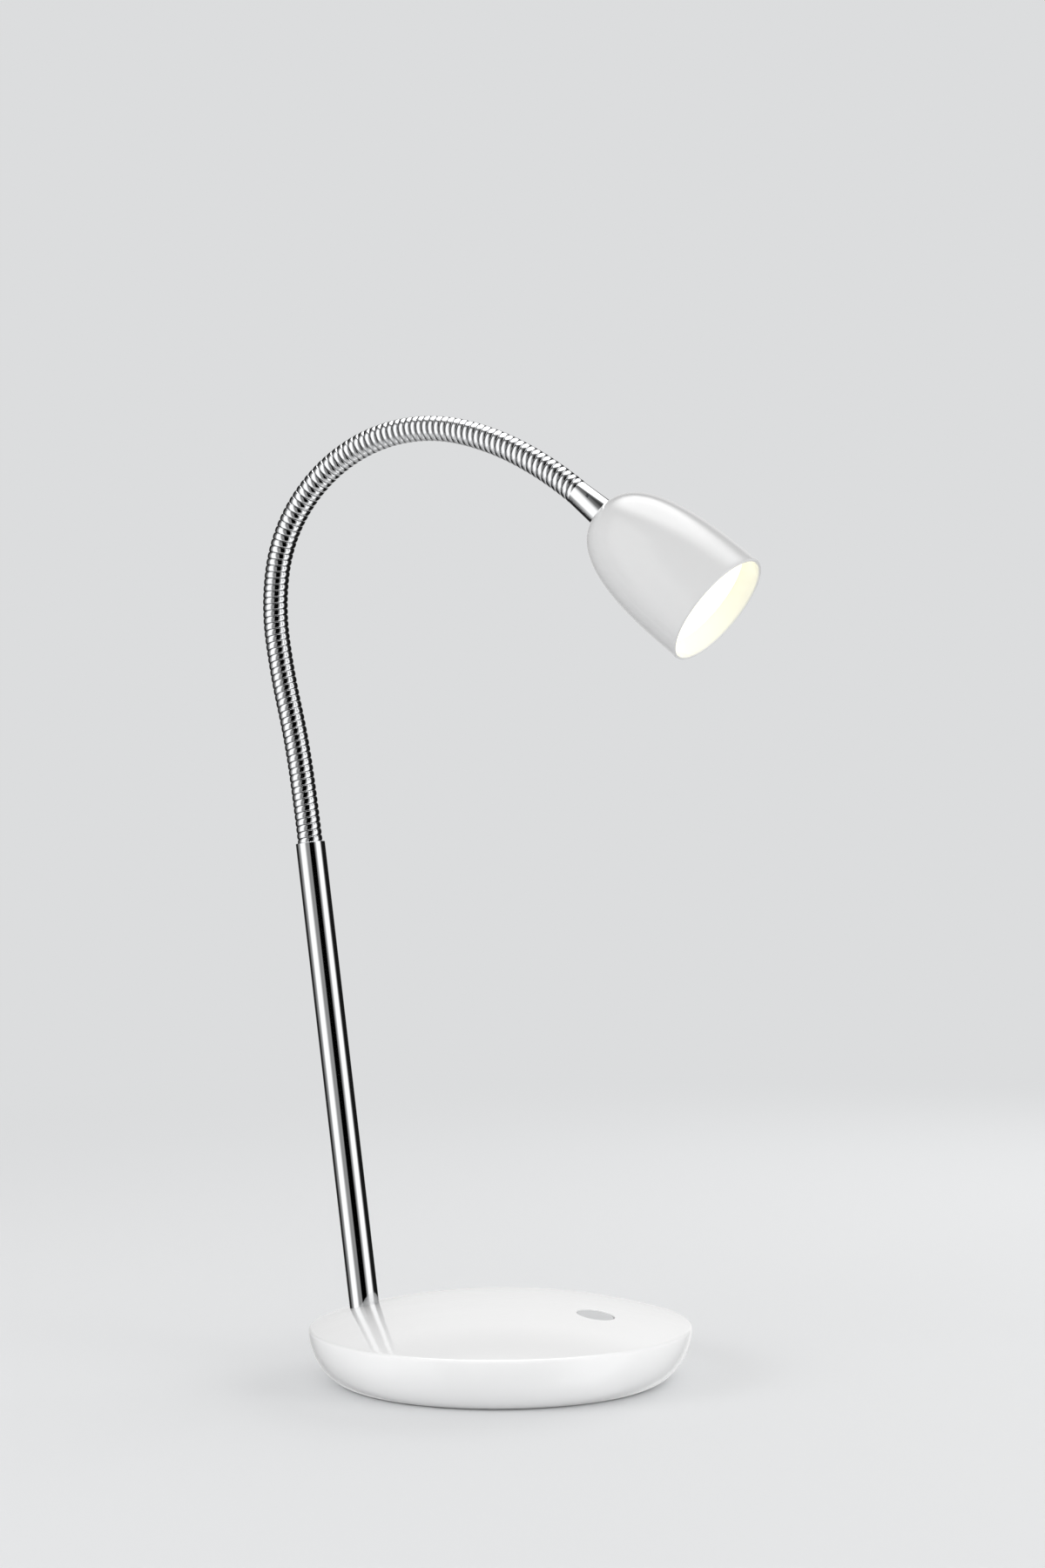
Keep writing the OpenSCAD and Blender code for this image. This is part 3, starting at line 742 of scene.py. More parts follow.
@dataclass(frozen=True)
class Foot:
    """The white moulded foot with its dome, and the round button in it."""

    base_r: float = 75.3 * MM
    base_foot_r: float = 61.6 * MM
    rim_z: float = 19.2 * MM
    rim_fillet: float = 1.4 * MM
    dome_rise: float = 12.2 * MM
    side_power: float = 1.75
    shell_gap: float = 0.5 * MM
    wall: float = 2.4 * MM
    skin: float = 0.6 * MM
    plate_hole_r: float = 58.2 * MM
    lip_r: float = 0.3 * MM
    lip_depth: float = 2.2 * MM
    button_at: tuple[float, float] = (42 * MM, -6.9 * MM)
    button_r: float = 7.2 * MM
    button_gap: float = 0.15 * MM
    button_sink: float = 0.35 * MM
    button_roll: float = 0.5 * MM
    flange_width: float = 1.3 * MM
    flange_t: float = 1 * MM
    flange_up: float = 1.9 * MM
    steps: int = 256
    button_steps: int = 128
    dome_rings: int = 56
    side_steps: int = 40
    fillet_steps: int = 16
    lip_steps: int = 5
    face_steps: int = 8
    roll_steps: int = 6

    @property
    def fillet_x(self) -> float:
        """Distance of the rim rounding's middle from the axis."""
        return self.base_r - self.rim_fillet

    @property
    def dome_r(self) -> float:
        """Radius of the sphere that the dome is a part of."""
        rise, fillet = self.dome_rise, self.rim_fillet
        return (self.fillet_x**2 + rise**2 - fillet**2) / (2 * (rise - fillet))

    @property
    def dome_zc(self) -> float:
        """Height of that sphere's middle."""
        return self.rim_z + self.dome_rise - self.dome_r

    @property
    def hole_r(self) -> float:
        """Radius of the button's hole."""
        return self.button_r + self.button_gap

    def dome_z(self, r: float) -> float:
        """Return the height of the dome at a distance from the axis."""
        return self.dome_zc + math.sqrt(self.dome_r**2 - r * r)

    def side_r(self, z: float) -> float:
        """Work out the radius of the side.

        Args:
            z: Height above the desk.

        Returns:
            Radius there.
        """
        t = 1 - z / self.rim_z
        grow = (1 - t**self.side_power) ** (1 / self.side_power)
        return self.base_foot_r + (self.base_r - self.base_foot_r) * grow

    def side_outline(self) -> Profile:
        """Draw the outline from inside the bottom, up the side to the dome's edge.

        Returns:
            Distance from the axis and height of each corner.
        """
        points: Profile = [
            (self.plate_hole_r, self.wall),
            (self.plate_hole_r, self.shell_gap + self.lip_r),
            (self.plate_hole_r + self.lip_r, self.shell_gap),
        ]
        for k in range(self.side_steps + 1):
            share = 1 - math.cos(math.pi / 2 * k / self.side_steps)
            z = self.shell_gap + (self.rim_z - self.shell_gap) * share
            points.append((self.side_r(z), z))
        top = math.pi / 2 - math.asin(self.fillet_x / (self.dome_r - self.rim_fillet))
        centre = (self.fillet_x, self.rim_z)
        return points + arc(centre, self.rim_fillet, 0.0, top, self.fillet_steps)[1:]

    def build(self) -> list[Piece]:
        """Model the shell and the button."""
        return [self.build_shell(), self.build_button()]

    def build_shell(self) -> Piece:
        """Model the shell: a spun side and a dome bridged round the button's hole.

        Returns:
            The finished shell.
        """
        outline = self.side_outline()
        shell = Bench.turned("foot_shell", outline, self.steps)
        Bench.clear()
        bpy.ops.mesh.primitive_circle_add(vertices=self.steps, radius=outline[-1][0])
        dome = bpy.context.active_object
        bpy.ops.mesh.primitive_circle_add(
            vertices=self.steps, radius=self.hole_r + self.lip_r, location=(*self.button_at, 0)
        )
        Bench.join(dome, bpy.context.active_object)
        Bench.edit(dome)
        bpy.ops.mesh.bridge_edge_loops(number_cuts=self.dome_rings, interpolation="LINEAR")
        bpy.ops.object.mode_set(mode="OBJECT")
        for vertex in dome.data.vertices:
            vertex.co.z = self.dome_z(math.hypot(vertex.co.x, vertex.co.y))
        self.roll_lip(dome)
        Bench.join(shell, dome)
        Bench.edit(shell)
        Bench.close_skin(threshold=2e-5)
        Bench.apply(shell, "SOLIDIFY", thickness=self.skin, offset=-1.0)
        return Bench.hand_over(shell, "base_shell", "foot", "white_shell", GLOSS_ABS, angle_deg=50)

    def roll_lip(self, dome: Piece) -> None:
        """Turn the edge of the button's hole down into a rolled lip.

        Args:
            dome: Piece with the dome, its hole edge at the lip's start.
        """
        x, y = self.button_at
        reach = self.hole_r + self.lip_r
        Bench.edit(dome)
        bpy.ops.mesh.select_all(action="DESELECT")
        Bench.select_edges(dome, lambda at: abs(math.hypot(at.x - x, at.y - y) - reach) < NEAR)
        scale_before, drop_before = 1.0, 0.0
        for k in range(1, self.lip_steps + 1):
            a = math.pi / 2 * k / self.lip_steps
            scale = (self.hole_r + self.lip_r * (1 - math.sin(a))) / reach
            drop = self.lip_r * (1 - math.cos(a))
            grow = scale / scale_before
            Bench.extrude(0, 0, drop_before - drop)
            bpy.ops.transform.resize(value=(grow, grow, 1), center_override=(x, y, 0))
            scale_before, drop_before = scale, drop
        Bench.extrude(0, 0, -self.lip_depth)

    def build_button(self) -> Piece:
        """Model the button: a disc with a rolled edge, its face following the dome.

        Returns:
            The finished button.
        """
        at = math.hypot(*self.button_at)
        face = self.dome_z(at) - self.button_sink
        roll = self.button_roll
        flat_r = self.button_r - roll
        flange_r = self.button_r + self.flange_width
        flange_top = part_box("switch_button")[0].z + self.flange_up
        outline: Profile = [(flat_r * k / self.face_steps, face) for k in range(self.face_steps)]
        outline += arc((flat_r, face - roll), roll, math.pi / 2, 0.0, self.roll_steps)
        outline += [
            (self.button_r, flange_top),
            (flange_r, flange_top),
            (flange_r, flange_top - self.flange_t),
            (0, flange_top - self.flange_t),
        ]
        button = Bench.turned("switch_cap", outline, self.button_steps)
        Bench.place(button, Matrix.Translation((*self.button_at, 0)))
        follows_from = flange_top + 0.1 * MM
        for vertex in button.data.vertices:
            if vertex.co.z > follows_from:
                here = math.hypot(vertex.co.x, vertex.co.y)
                vertex.co.z += self.dome_z(here) - self.dome_z(at)
        return Bench.hand_over(
            button, "switch_button", "button", "button_grey", SATIN_ABS, angle_deg=50
        )


# ---------- Tube and neck ----------


@dataclass(frozen=True)
class Tube:
    """The chrome tube that leans out of the foot."""

    layout: Layout
    outer_r: float = 6 * MM
    wall: float = 0.8 * MM
    seat_depth: float = 3 * MM
    lip_r: float = 0.25 * MM
    steps: int = 160

    def build(self) -> list[Piece]:
        """Model the tube with its rounded upper lip.

        Returns:
            The finished tube, in a list.
        """
        top, low = self.layout.tube_len, -self.seat_depth
        inner = self.outer_r - self.wall
        outline = rounded(
            [(inner, low), (self.outer_r, low), (self.outer_r, top), (inner, top)],
            {2: self.lip_r, 3: self.lip_r},
        )
        tube = Bench.turned("upright_tube", outline, self.steps, closed=True)
        Bench.place(tube, self.layout.at_tube)
        return [Bench.hand_over(tube, "support_tube", "foot", "chrome_tube", CHROME_TUBE)]


@dataclass(frozen=True)
class Gooseneck:
    """The wound neck: a domed band and a round wire in its groove, on a liner.

    It is made straight, in spans that each reach from the middle of one jointed
    piece to the middle of the next, and then bent along the neck's middle line.
    """

    layout: Layout
    crest_r: float = 5.13 * MM
    face_rise: float = 0.23 * MM
    edge_roll: float = 0.14 * MM
    roll_power: float = 14.0
    turns_per_piece: float = 10.75
    band_width: float = 2.44 * MM
    band_depth: float = 0.54 * MM
    back_share: float = 0.96
    face_stations: tuple[float, ...] = (0.25, 0.5, 0.68, 0.79, 0.87, 0.93, 0.97, 1.0)
    wire_r: float = 0.42 * MM
    wire_at_r: float = 4.14 * MM
    liner_r: float = 3.7 * MM
    bore_r: float = 3.3 * MM
    steps_per_turn: int = 48
    wire_steps: int = 12
    liner_rows: int = 28
    liner_steps: int = 32
    line_steps: int = 560

    @property
    def pitch(self) -> float:
        """Distance from one turn of the band to the next."""
        return self.layout.piece_len / self.turns_per_piece

    def band_outline(self) -> Profile:
        """Draw the band's section: a low arch with rolled edges.

        From its crest to its edges the face drops by face_rise, and near the edges
        by edge_roll more, which starts the later, the higher roll_power is.

        Returns:
            Distance from the axis and height above the turn's middle of each corner.
        """
        half = self.band_width / 2
        points: Profile = []
        for t in (*(-t for t in reversed(self.face_stations)), 0.0, *self.face_stations):
            drop = self.face_rise * t * t + self.edge_roll * abs(t) ** self.roll_power
            points.append((self.crest_r - drop, t * half))
        back_r, back_z = self.crest_r - self.band_depth, half * self.back_share
        return points + [(back_r, back_z), (back_r, -back_z)]

    def wire_outline(self) -> Profile:
        """Return the wire's section, half a turn from the band's."""
        centre = (self.wire_at_r, self.pitch / 2)
        return arc(centre, self.wire_r, 0.0, math.tau, self.wire_steps)[:-1]

    def build(self) -> list[Piece]:
        """Model every span and bend it along the middle line.

        Returns:
            The finished spans, from the tube up.
        """
        line = self.middle_line()
        length = self.layout.piece_len
        spans = []
        for index in range(len(self.layout.bends_deg) + 1):
            start = max(0.0, (index - 0.5) * length)
            end = min(self.layout.neck_len, (index + 0.5) * length)
            spans.append(self.build_span(index, start, end, line))
        Bench.clear()
        bpy.data.objects.remove(line)
        return spans

    def middle_line(self) -> Piece:
        """Draw the neck's middle line in the neck's own plane.

        Returns:
            Curve that the spans are bent along.
        """
        shape = bpy.data.curves.new("middle_line", "CURVE")
        shape.dimensions = "3D"
        shape.twist_mode = "MINIMUM"
        spline = shape.splines.new("POLY")
        spline.points.add(self.line_steps)
        for k in range(self.line_steps + 1):
            place = self.layout.along_neck(self.layout.neck_len * k / self.line_steps)
            spline.points[k].co = (*place.translation, 1)
        line = bpy.data.objects.new("middle_line", shape)
        bpy.context.scene.collection.objects.link(line)
        return line

    def build_span(self, index: int, start: float, end: float, line: Piece) -> Piece:
        """Model one span of the neck.

        Args:
            index: Number of the span, 0 at the tube.
            start: Where the span starts along the middle line.
            end: Where it ends.
            line: Middle line that it is bent along.

        Returns:
            The finished span.
        """
        span = self.wind(f"neck_span_{index}", self.band_outline(), start, end)
        wire = self.wind("wire", self.wire_outline(), start, end)
        liner = self.line_tube(start, end)
        # Band sides, wire and liner get the painted groove shade
        Bench.dress(span, CHROME_WOUND, STEEL_PAINTED_GROOVE_SHADE)
        self.paint_groove_shade_on_sides(span)
        Bench.dress(wire, STEEL_PAINTED_GROOVE_SHADE)
        Bench.dress(liner, STEEL_PAINTED_GROOVE_SHADE)
        Bench.join(span, wire, liner)
        Bench.apply(span, "CURVE", object=line, deform_axis="POS_Z")
        Bench.place(span, self.layout.at_neck)
        Bench.smooth(span, angle_deg=50)
        self.hang(span, index, start, end)
        return span

    def wind(self, name: str, outline: Profile, start: float, end: float) -> Piece:
        """Wind a section into a helix between two places on the straight neck.

        Args:
            name: Name of the piece.
            outline: Section, with its height counted from the turn's middle.
            start: Where the helix starts.
            end: Where it ends.

        Returns:
            The helix, closed at both ends.
        """
        turns = (end - start) / self.pitch
        steps = round(self.steps_per_turn * turns)
        piece = Bench.outline(name, [(r, z + start) for r, z in outline], closed=True)
        Bench.place(piece, Matrix.Rotation(math.tau * ((start / self.pitch) % 1.0), 4, "Z"))
        Bench.apply(
            piece,
            "SCREW",
            axis="Z",
            angle=math.tau * turns,
            screw_offset=end - start,
            iterations=1,
            steps=steps,
            render_steps=steps,
            use_smooth_shade=True,
        )
        Bench.edit(piece)
        bpy.ops.mesh.fill_holes(sides=0)
        Bench.close_skin(threshold=1e-7)
        return piece

    def paint_groove_shade_on_sides(self, band: Piece) -> None:
        """Give the band's sides and back the groove's painted shade.

        Args:
            band: Wound band, with the painted groove shade in its second slot.
        """
        just_below = 1.05
        limit = self.crest_r - (self.face_rise + self.edge_roll) * just_below
        for face in band.data.polygons:
            if math.hypot(face.center.x, face.center.y) < limit:
                face.material_index = 1

    def line_tube(self, start: float, end: float) -> Piece:
        """Model the smooth liner inside the turns.

        Args:
            start: Where the liner starts along the straight neck.
            end: Where it ends.

        Returns:
            The liner.
        """
        rows = self.liner_rows
        outer = [(self.liner_r, start + (end - start) * k / rows) for k in range(rows + 1)]
        inner = [(self.bore_r, z) for _, z in reversed(outer)]
        return Bench.turned("liner", outer + inner, self.liner_steps, closed=True)

    def hang(self, span: Piece, index: int, start: float, end: float) -> None:
        """Tie an end span to its body, bake a middle span's place into its mesh, and stand each in
        for its solids.

        Args:
            span: Finished span.
            index: Number of the span, 0 at the tube.
            start: Where the span starts along the middle line.
            end: Where it ends.
        """
        count = len(self.layout.bends_deg)
        bodies = ["foot"] + [f"neck_{k}" for k in range(2, count)] + ["head"]
        if index in (0, count):
            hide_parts(f"neck_piece_{max(1, index)}")
            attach(span, bodies[0 if index == 0 else -1])
            return
        first, last = (
            (self.layout.at_neck @ self.layout.along_neck(length)).translation
            for length in (start, end)
        )
        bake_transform(span)
        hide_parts(f"neck_piece_{index}", f"neck_piece_{index + 1}")


# ---------- Head ----------


@dataclass(frozen=True)
class Head:
    """The tapered collar and its screw, the bullet shade, the reflector and the diffuser."""

    layout: Layout
    collar_r1: float = 5.05 * MM
    collar_r2: float = 5.95 * MM
    collar_rolls: tuple[float, float] = (0.25 * MM, 0.2 * MM)
    neck_bore_r: float = 4.01 * MM
    neck_bore_len: float = 8.1 * MM
    lead_bore_r: float = 2.2 * MM
    thread_r: float = 4.5 * MM
    thread_len: float = 9 * MM
    screw_z: float = 6.6 * MM
    screw_turn_deg: float = -118
    screw_hole_r: float = 0.77 * MM
    screw_hole_depth: float = 3 * MM
    screw_hole_out: float = 0.4 * MM
    screw_r: float = 0.75 * MM
    screw_len: float = 1.1 * MM
    screw_seat_r: float = 4.05 * MM
    screw_chamfer: float = 0.08 * MM
    socket_r: float = 0.38 * MM
    socket_depth: float = 0.6 * MM
    shade_len: float = 60.6 * MM
    shade_r: float = 23.9 * MM
    wall: float = 1.3 * MM
    shoulder: float = 1.95
    side: float = 3.0
    floor: float = 2 * MM
    floor_r: float = 7.6 * MM
    thread_hole_r: float = 4.6 * MM
    reflector_len: float = 13 * MM
    reflector_small_r: float = 9.5 * MM
    reflector_t: float = 1 * MM
    reflector_rim: float = 1.2 * MM
    reflector_lip: float = 1 * MM
    reflector_gap: float = 0.5 * MM
    diffuser_depth: float = 8.5 * MM
    diffuser_t: float = 1.6 * MM
    diffuser_gap: float = 0.15 * MM
    diffuser_rolls: tuple[float, float] = (0.3 * MM, 0.4 * MM)
    steps: int = 224
    fine_steps: int = 160
    cone_steps: int = 128
    screw_steps: int = 48
    section_steps: int = 64
    lip_steps: int = 12

    @property
    def diffuser_back(self) -> float:
        """Distance of the diffuser's inner face from the shade's back."""
        return self.shade_len - self.diffuser_depth - self.diffuser_t

    def outer(self, s: float) -> float:
        """Work out the radius of the shade.

        Args:
            s: Distance from the shade's back.

        Returns:
            Radius there.
        """
        t = min(1.0, s / self.shade_len)
        grow = (1 - (1 - t) ** self.side) ** (1 / self.shoulder)
        return self.collar_r2 + (self.shade_r - self.collar_r2) * grow

    def inner(self, s: float) -> float:
        """Return the radius of the shade's hollow at a distance from its back."""
        return self.outer(s - self.wall * (1 - s / self.shade_len)) - self.wall

    def build(self) -> list[Piece]:
        """Model the pieces of the head.

        Returns:
            The finished pieces, from the collar out.
        """
        return [
            self.build_collar(),
            self.build_screw(),
            self.build_shade(),
            self.build_reflector(),
            self.build_diffuser(),
        ]

    def build_collar(self) -> Piece:
        """Model the tapered collar with its threaded end and the screw's hole.

        Returns:
            The finished collar.
        """
        length = self.layout.collar_len
        points = [
            (self.neck_bore_r, self.neck_bore_len),
            (self.neck_bore_r, 0.0),
            (self.collar_r1, 0.0),
            (self.collar_r2, length),
            (self.thread_r, length),
            (self.thread_r, length + self.thread_len),
            (self.lead_bore_r, length + self.thread_len),
            (self.lead_bore_r, self.neck_bore_len),
        ]
        outline = rounded(points, {2: self.collar_rolls[0], 3: self.collar_rolls[1]})
        collar = Bench.turned("neck_collar", outline, self.fine_steps, closed=True)
        Bench.clear()
        turn = math.radians(self.screw_turn_deg)
        reach = self.collar_r1 + self.screw_hole_out
        bpy.ops.mesh.primitive_cylinder_add(
            vertices=self.screw_steps,
            radius=self.screw_hole_r,
            depth=self.screw_hole_depth,
            location=(reach * math.cos(turn), reach * math.sin(turn), self.screw_z),
            rotation=(0, math.pi / 2, turn),
        )
        cutter = bpy.context.active_object
        Bench.apply(collar, "BOOLEAN", operation="DIFFERENCE", object=cutter, solver="EXACT")
        bpy.data.objects.remove(cutter)
        Bench.place(collar, self.layout.at_head)
        return Bench.hand_over(
            collar, "head_collar", "head", "chrome_tube", CHROME_TUBE, angle_deg=30
        )

    def build_screw(self) -> Piece:
        """Model the small hexagon socket screw in the collar's side.

        Returns:
            The finished screw.
        """
        top, chamfer = self.socket_depth, self.screw_chamfer
        rim_r = self.screw_r - chamfer
        Bench.clear()
        bpy.ops.mesh.primitive_circle_add(vertices=6, radius=self.socket_r, fill_type="NGON")
        screw = bpy.context.active_object
        screw.name = screw.data.name = "collar_grub"
        Bench.edit(screw)
        Bench.extrude(0, 0, top)
        bpy.ops.mesh.delete(type="ONLY_FACE")
        bpy.ops.object.mode_set(mode="OBJECT")
        bpy.ops.mesh.primitive_circle_add(
            vertices=self.screw_steps, radius=rim_r, location=(0, 0, top)
        )
        Bench.join(screw, bpy.context.active_object)
        Bench.edit(screw)
        Bench.select_edges(screw, lambda at: at.z > top - NEAR)
        bpy.ops.mesh.bridge_edge_loops()
        Bench.select_edges(screw, lambda at: math.hypot(at.x, at.y) > rim_r - NEAR)
        Bench.extrude(0, 0, -chamfer)
        grow = self.screw_r / rim_r
        bpy.ops.transform.resize(value=(grow, grow, 1), center_override=(0, 0, 0))
        Bench.extrude(0, 0, chamfer - self.screw_len)
        bpy.ops.mesh.edge_face_add()
        Bench.close_skin(threshold=1e-8)
        turn = Matrix.Rotation(math.radians(self.screw_turn_deg), 4, "Z")
        out = Matrix.Translation((self.screw_seat_r + self.screw_len - top, 0, self.screw_z))
        lie = Matrix.Rotation(math.pi / 2, 4, "Y")
        Bench.place(screw, self.layout.at_head @ turn @ out @ lie)
        return Bench.hand_over(
            screw, "collar_screw", "head", "zinc_steel", ZINC_STEEL, angle_deg=30
        )

    def shade_outline(self) -> Profile:
        """Draw the shade's section: the outer skin, the rounded rim and the hollow.

        Returns:
            Distance from the axis and from the shade's back of each corner.
        """
        rim = self.wall / 2
        edge = self.shade_len - rim
        count = self.section_steps
        # How far the hollow's side stays from the corner of its floor
        clear_up, clear_out = 1 * MM, 0.4 * MM
        # Closer together towards the back, where the shade opens quickly
        stations = [edge * (k / count) ** 2 for k in range(count + 1)]
        outside = [(self.outer(s), s) for s in stations]
        lip = arc((self.shade_r - rim, edge), rim, 0.0, math.pi, self.lip_steps)[1:-1]
        inside = [
            (self.inner(s), s)
            for s in reversed(stations)
            if s > self.floor + clear_up and self.inner(s) > self.floor_r + clear_out
        ]
        hole_r = self.thread_hole_r
        return outside + lip + inside + [
            (self.floor_r, self.floor), (hole_r, self.floor), (hole_r, 0.0)
        ]

    def build_shade(self) -> Piece:
        """Model the white shade, with painted warm light on its inside.

        Returns:
            The finished shade.
        """
        shade = Bench.turned("lamp_shade", self.shade_outline(), self.steps, closed=True)
        # Faces of the hollow take the second slot, with the painted warm light
        inwards = 0.75 * self.wall
        for face in shade.data.polygons:
            if math.hypot(face.center.x, face.center.y) < self.outer(face.center.z) - inwards:
                face.material_index = 1
        Bench.place(shade, self.layout.at_shade)
        return Bench.hand_over(shade, "shade", "head", "white_shell", SHADE_WHITE_PAINTED_DIMMER, SHADE_INSIDE_PAINTED_WARM_LIGHT)

    def build_reflector(self) -> Piece:
        """Model the white cone between the LED and the diffuser.

        Returns:
            The finished reflector.
        """
        front, rim = self.diffuser_back, self.reflector_rim
        start, small = front - self.reflector_len, self.reflector_small_r
        wide, thick = self.inner(front) - self.reflector_gap, self.reflector_t
        outline: Profile = [
            (small, start),
            (small + thick, start),
            (wide - thick, front - rim),
            (wide, front - rim),
            (wide, front),
            (wide - thick - self.reflector_lip, front),
        ]
        cone = Bench.turned("lamp_reflector", outline, self.cone_steps, closed=True)
        Bench.place(cone, self.layout.at_shade)
        return Bench.hand_over(
            cone, "reflector", "head", "reflector_white", REFLECTOR_PAINTED_GLOW, angle_deg=30
        )

    def build_diffuser(self) -> Piece:
        """Model the opal disc with its rounded edge.

        Returns:
            The finished diffuser.
        """
        back, front = self.diffuser_back, self.shade_len - self.diffuser_depth
        edge = self.inner(back) - self.diffuser_gap
        outline = rounded(
            [(0, back), (edge, back), (edge, front), (0, front)],
            {1: self.diffuser_rolls[0], 2: self.diffuser_rolls[1]},
        )
        disc = Bench.turned("lamp_diffuser", outline, self.fine_steps)
        Bench.place(disc, self.layout.at_shade)
        return Bench.hand_over(disc, "diffuser", "head", "diffuser_opal", OPAL)


# ---------- Solids that stay ----------


@dataclass(frozen=True)
class InnerParts:
    """The solids that stay as they are and get a finish."""

    nodes: dict[str, Piece]
    record: dict

    def dress(self) -> int:
        """Give every shown solid the finish of its slot.

        Returns:
            How many solids got one.
        """
        slots = {part["node"]: part["material_slot"] for part in self.record["subparts"]}
        shown = {name: node for name, node in self.nodes.items() if not node.hide_render}
        for name, node in shown.items():
            if not node.material_slots:
                node.data.materials.append(None)
            for slot in node.material_slots:
                slot.link = "OBJECT"
                slot.material = FINISH_OF_SLOT[slots[name]].material()
        return len(shown)


# ---------- Studio ----------


@dataclass(frozen=True)
class Card:
    """A soft-edged pale or dark card round the set, seen by gloss and metal.

    Attributes:
        name: What the card is.
        azimuth_deg: Its middle, counted from the camera to the right.
        elevation_deg: Its middle, counted up from the level.
        half_deg: Half its width and height. A round card has its radius in both.
        soft_deg: Width of its soft side edges, and of its upper and lower ones.
        level: Its brightness, 1 is white.
        is_round: Whether the card is round.
    """

    name: str
    azimuth_deg: float
    elevation_deg: float
    half_deg: tuple[float, float]
    soft_deg: tuple[float, float]
    level: float
    is_round: bool = False


STUDIO_CARDS = (
    Card("pale wall behind the set", 180, 0, (40, 34), (20, 12), 0.8),
    Card("pale reflector left, low", -75, -44, (30, 24), (24, 16), 0.75),
    Card("strip box right", 64, -2, (20, 54), (17, 14), 1.3),
    Card("soft box left", -64, 4, (23, 46), (20, 18), 1.3),
    Card("dark flag left", -138, 4, (27, 44), (24, 16), 0.02),
    Card("dark flag right", 123, -4, (32, 44), (18, 16), 0.01),
    Card("grey flag above the camera", -5, 42, (18, 22), (16, 14), 0.06),
    Card("dark flag in front", 11, -2, (20, 46), (9, 14), 0.0),
    Card("large soft box above", 175, 77, (26, 26), (20, 20), 4.6, is_round=True),
)


@dataclass(frozen=True)
class Studio:
    """Floor, light and camera."""

    backdrop: str = "DCDDDE"
    floor: str = "E4E5E6"
    floor_r: float = 6.0
    floor_steps: int = 128
    fade_start: float = 0.3
    fade_end: float = 1.3
    fill: str = "F6F6F6"
    fill_strength: float = 0.85
    cards: tuple[Card, ...] = STUDIO_CARDS
    surroundings: Stops = (
        (0.0, 0.62), (0.075, 0.5), (0.2, 0.28), (0.4, 0.3), (0.5, 0.34),
        (0.65, 0.3), (0.8, 0.2), (0.95, 0.2), (1.0, 0.5),
    )
    tent: Stops = ((0.5, 1.3), (0.75, 1.0), (0.93, 0.82), (1.0, 0.75))
    aim: Point = (0.0, 0.0, 0.2)
    camera_azimuth_deg: float = 21.14
    camera_yaw_deg: float = -0.5
    camera_distance: float = 1.10857
    camera_height: float = 0.21898
    camera_pitch_deg: float = 0.724
    camera_roll_deg: float = -0.27
    camera_reach: float = 100
    frame_height_px: float = 1800
    focal_px: float = 3225.36
    sensor_mm: float = 36

    def build(self) -> None:
        """Add the floor, the light and the camera."""
        self.build_floor()
        self.build_world()
        self.add_soft_box("soft_box_key", (-0.9, -1.0, 0.7), (0.9, 0.7), 6.0)
        self.add_soft_box("soft_box_fill", (1.35, -0.25, 0.45), (0.6, 0.8), 5.0)
        self.add_soft_box("soft_box_back", (0.5, 1.3, 0.6), (1.0, 0.8), 6.0)
        self.build_camera()

    def build_floor(self) -> None:
        """Add a round floor that fades into the backdrop further out."""
        Bench.clear()
        bpy.ops.mesh.primitive_circle_add(
            vertices=self.floor_steps, radius=self.floor_r, fill_type="NGON"
        )
        ground = bpy.context.active_object
        ground.name = "studio_floor"
        material = bpy.data.materials.new("studio_floor_painted")
        tree = blank_tree(material)
        place = add_node(tree, "TexCoord").outputs["Object"]
        away = add_node(tree, "VectorMath", {0: place}, operation="LENGTH").outputs["Value"]
        fade = add_node(
            tree,
            "MapRange",
            {"Value": away, "From Min": self.fade_start, "From Max": self.fade_end},
            interpolation_type="SMOOTHSTEP",
        )
        paint = add_node(
            tree,
            "BsdfPrincipled",
            {"Base Color": linear(self.floor), "Roughness": 0.85, "Specular IOR Level": 0.2},
        )
        far = add_node(tree, "Emission", {"Color": linear(self.backdrop), "Strength": 1.0})
        both = add_node(tree, "MixShader", {0: fade, 1: paint, 2: far})
        glossy = add_node(tree, "LightPath").outputs["Is Glossy Ray"]
        clear = add_node(tree, "BsdfTransparent")
        seen = add_node(tree, "MixShader", {0: glossy, 1: both, 2: clear})
        add_node(tree, "OutputMaterial", {"Surface": seen})
        ground.data.materials.append(material)

    def build_world(self) -> None:
        """Light the set softly, with a plain backdrop and cards that only gloss and metal see."""
        world = bpy.data.worlds.new("studio")
        bpy.context.scene.world = world
        tree = blank_tree(world)
        way = add_node(tree, "TexCoord").outputs["Generated"]
        height = add_node(tree, "SeparateXYZ", {0: way}).outputs["Z"]
        place = add_node(tree, "Math", {0: height, 1: 0.5, 2: 0.5}, operation="MULTIPLY_ADD")
        around = self.ramp(tree, place, self.surroundings)
        tent = self.ramp(tree, place, self.tent)
        for card in self.cards:
            around = self.add_card(tree, way, around, card)
        rays = add_node(tree, "LightPath").outputs
        mirror = add_node(
            tree,
            "Math",
            {0: rays["Is Glossy Ray"], 1: rays["Is Transmission Ray"]},
            operation="MAXIMUM",
        )
        tinted = add_node(
            tree,
            "Mix",
            {0: 1.0, 6: tent, 7: linear(self.fill)},
            data_type="RGBA",
            blend_type="MULTIPLY",
        ).outputs[2]
        soft = add_node(tree, "Background", {"Color": tinted, "Strength": self.fill_strength})
        studio = add_node(tree, "Background", {"Color": around, "Strength": 1.0})
        plain = add_node(tree, "Background", {"Color": linear(self.backdrop), "Strength": 1.0})
        lit = add_node(tree, "MixShader", {0: mirror, 1: soft, 2: studio})
        seen = add_node(tree, "MixShader", {0: rays["Is Camera Ray"], 1: lit, 2: plain})
        add_node(tree, "OutputWorld", {"Surface": seen})

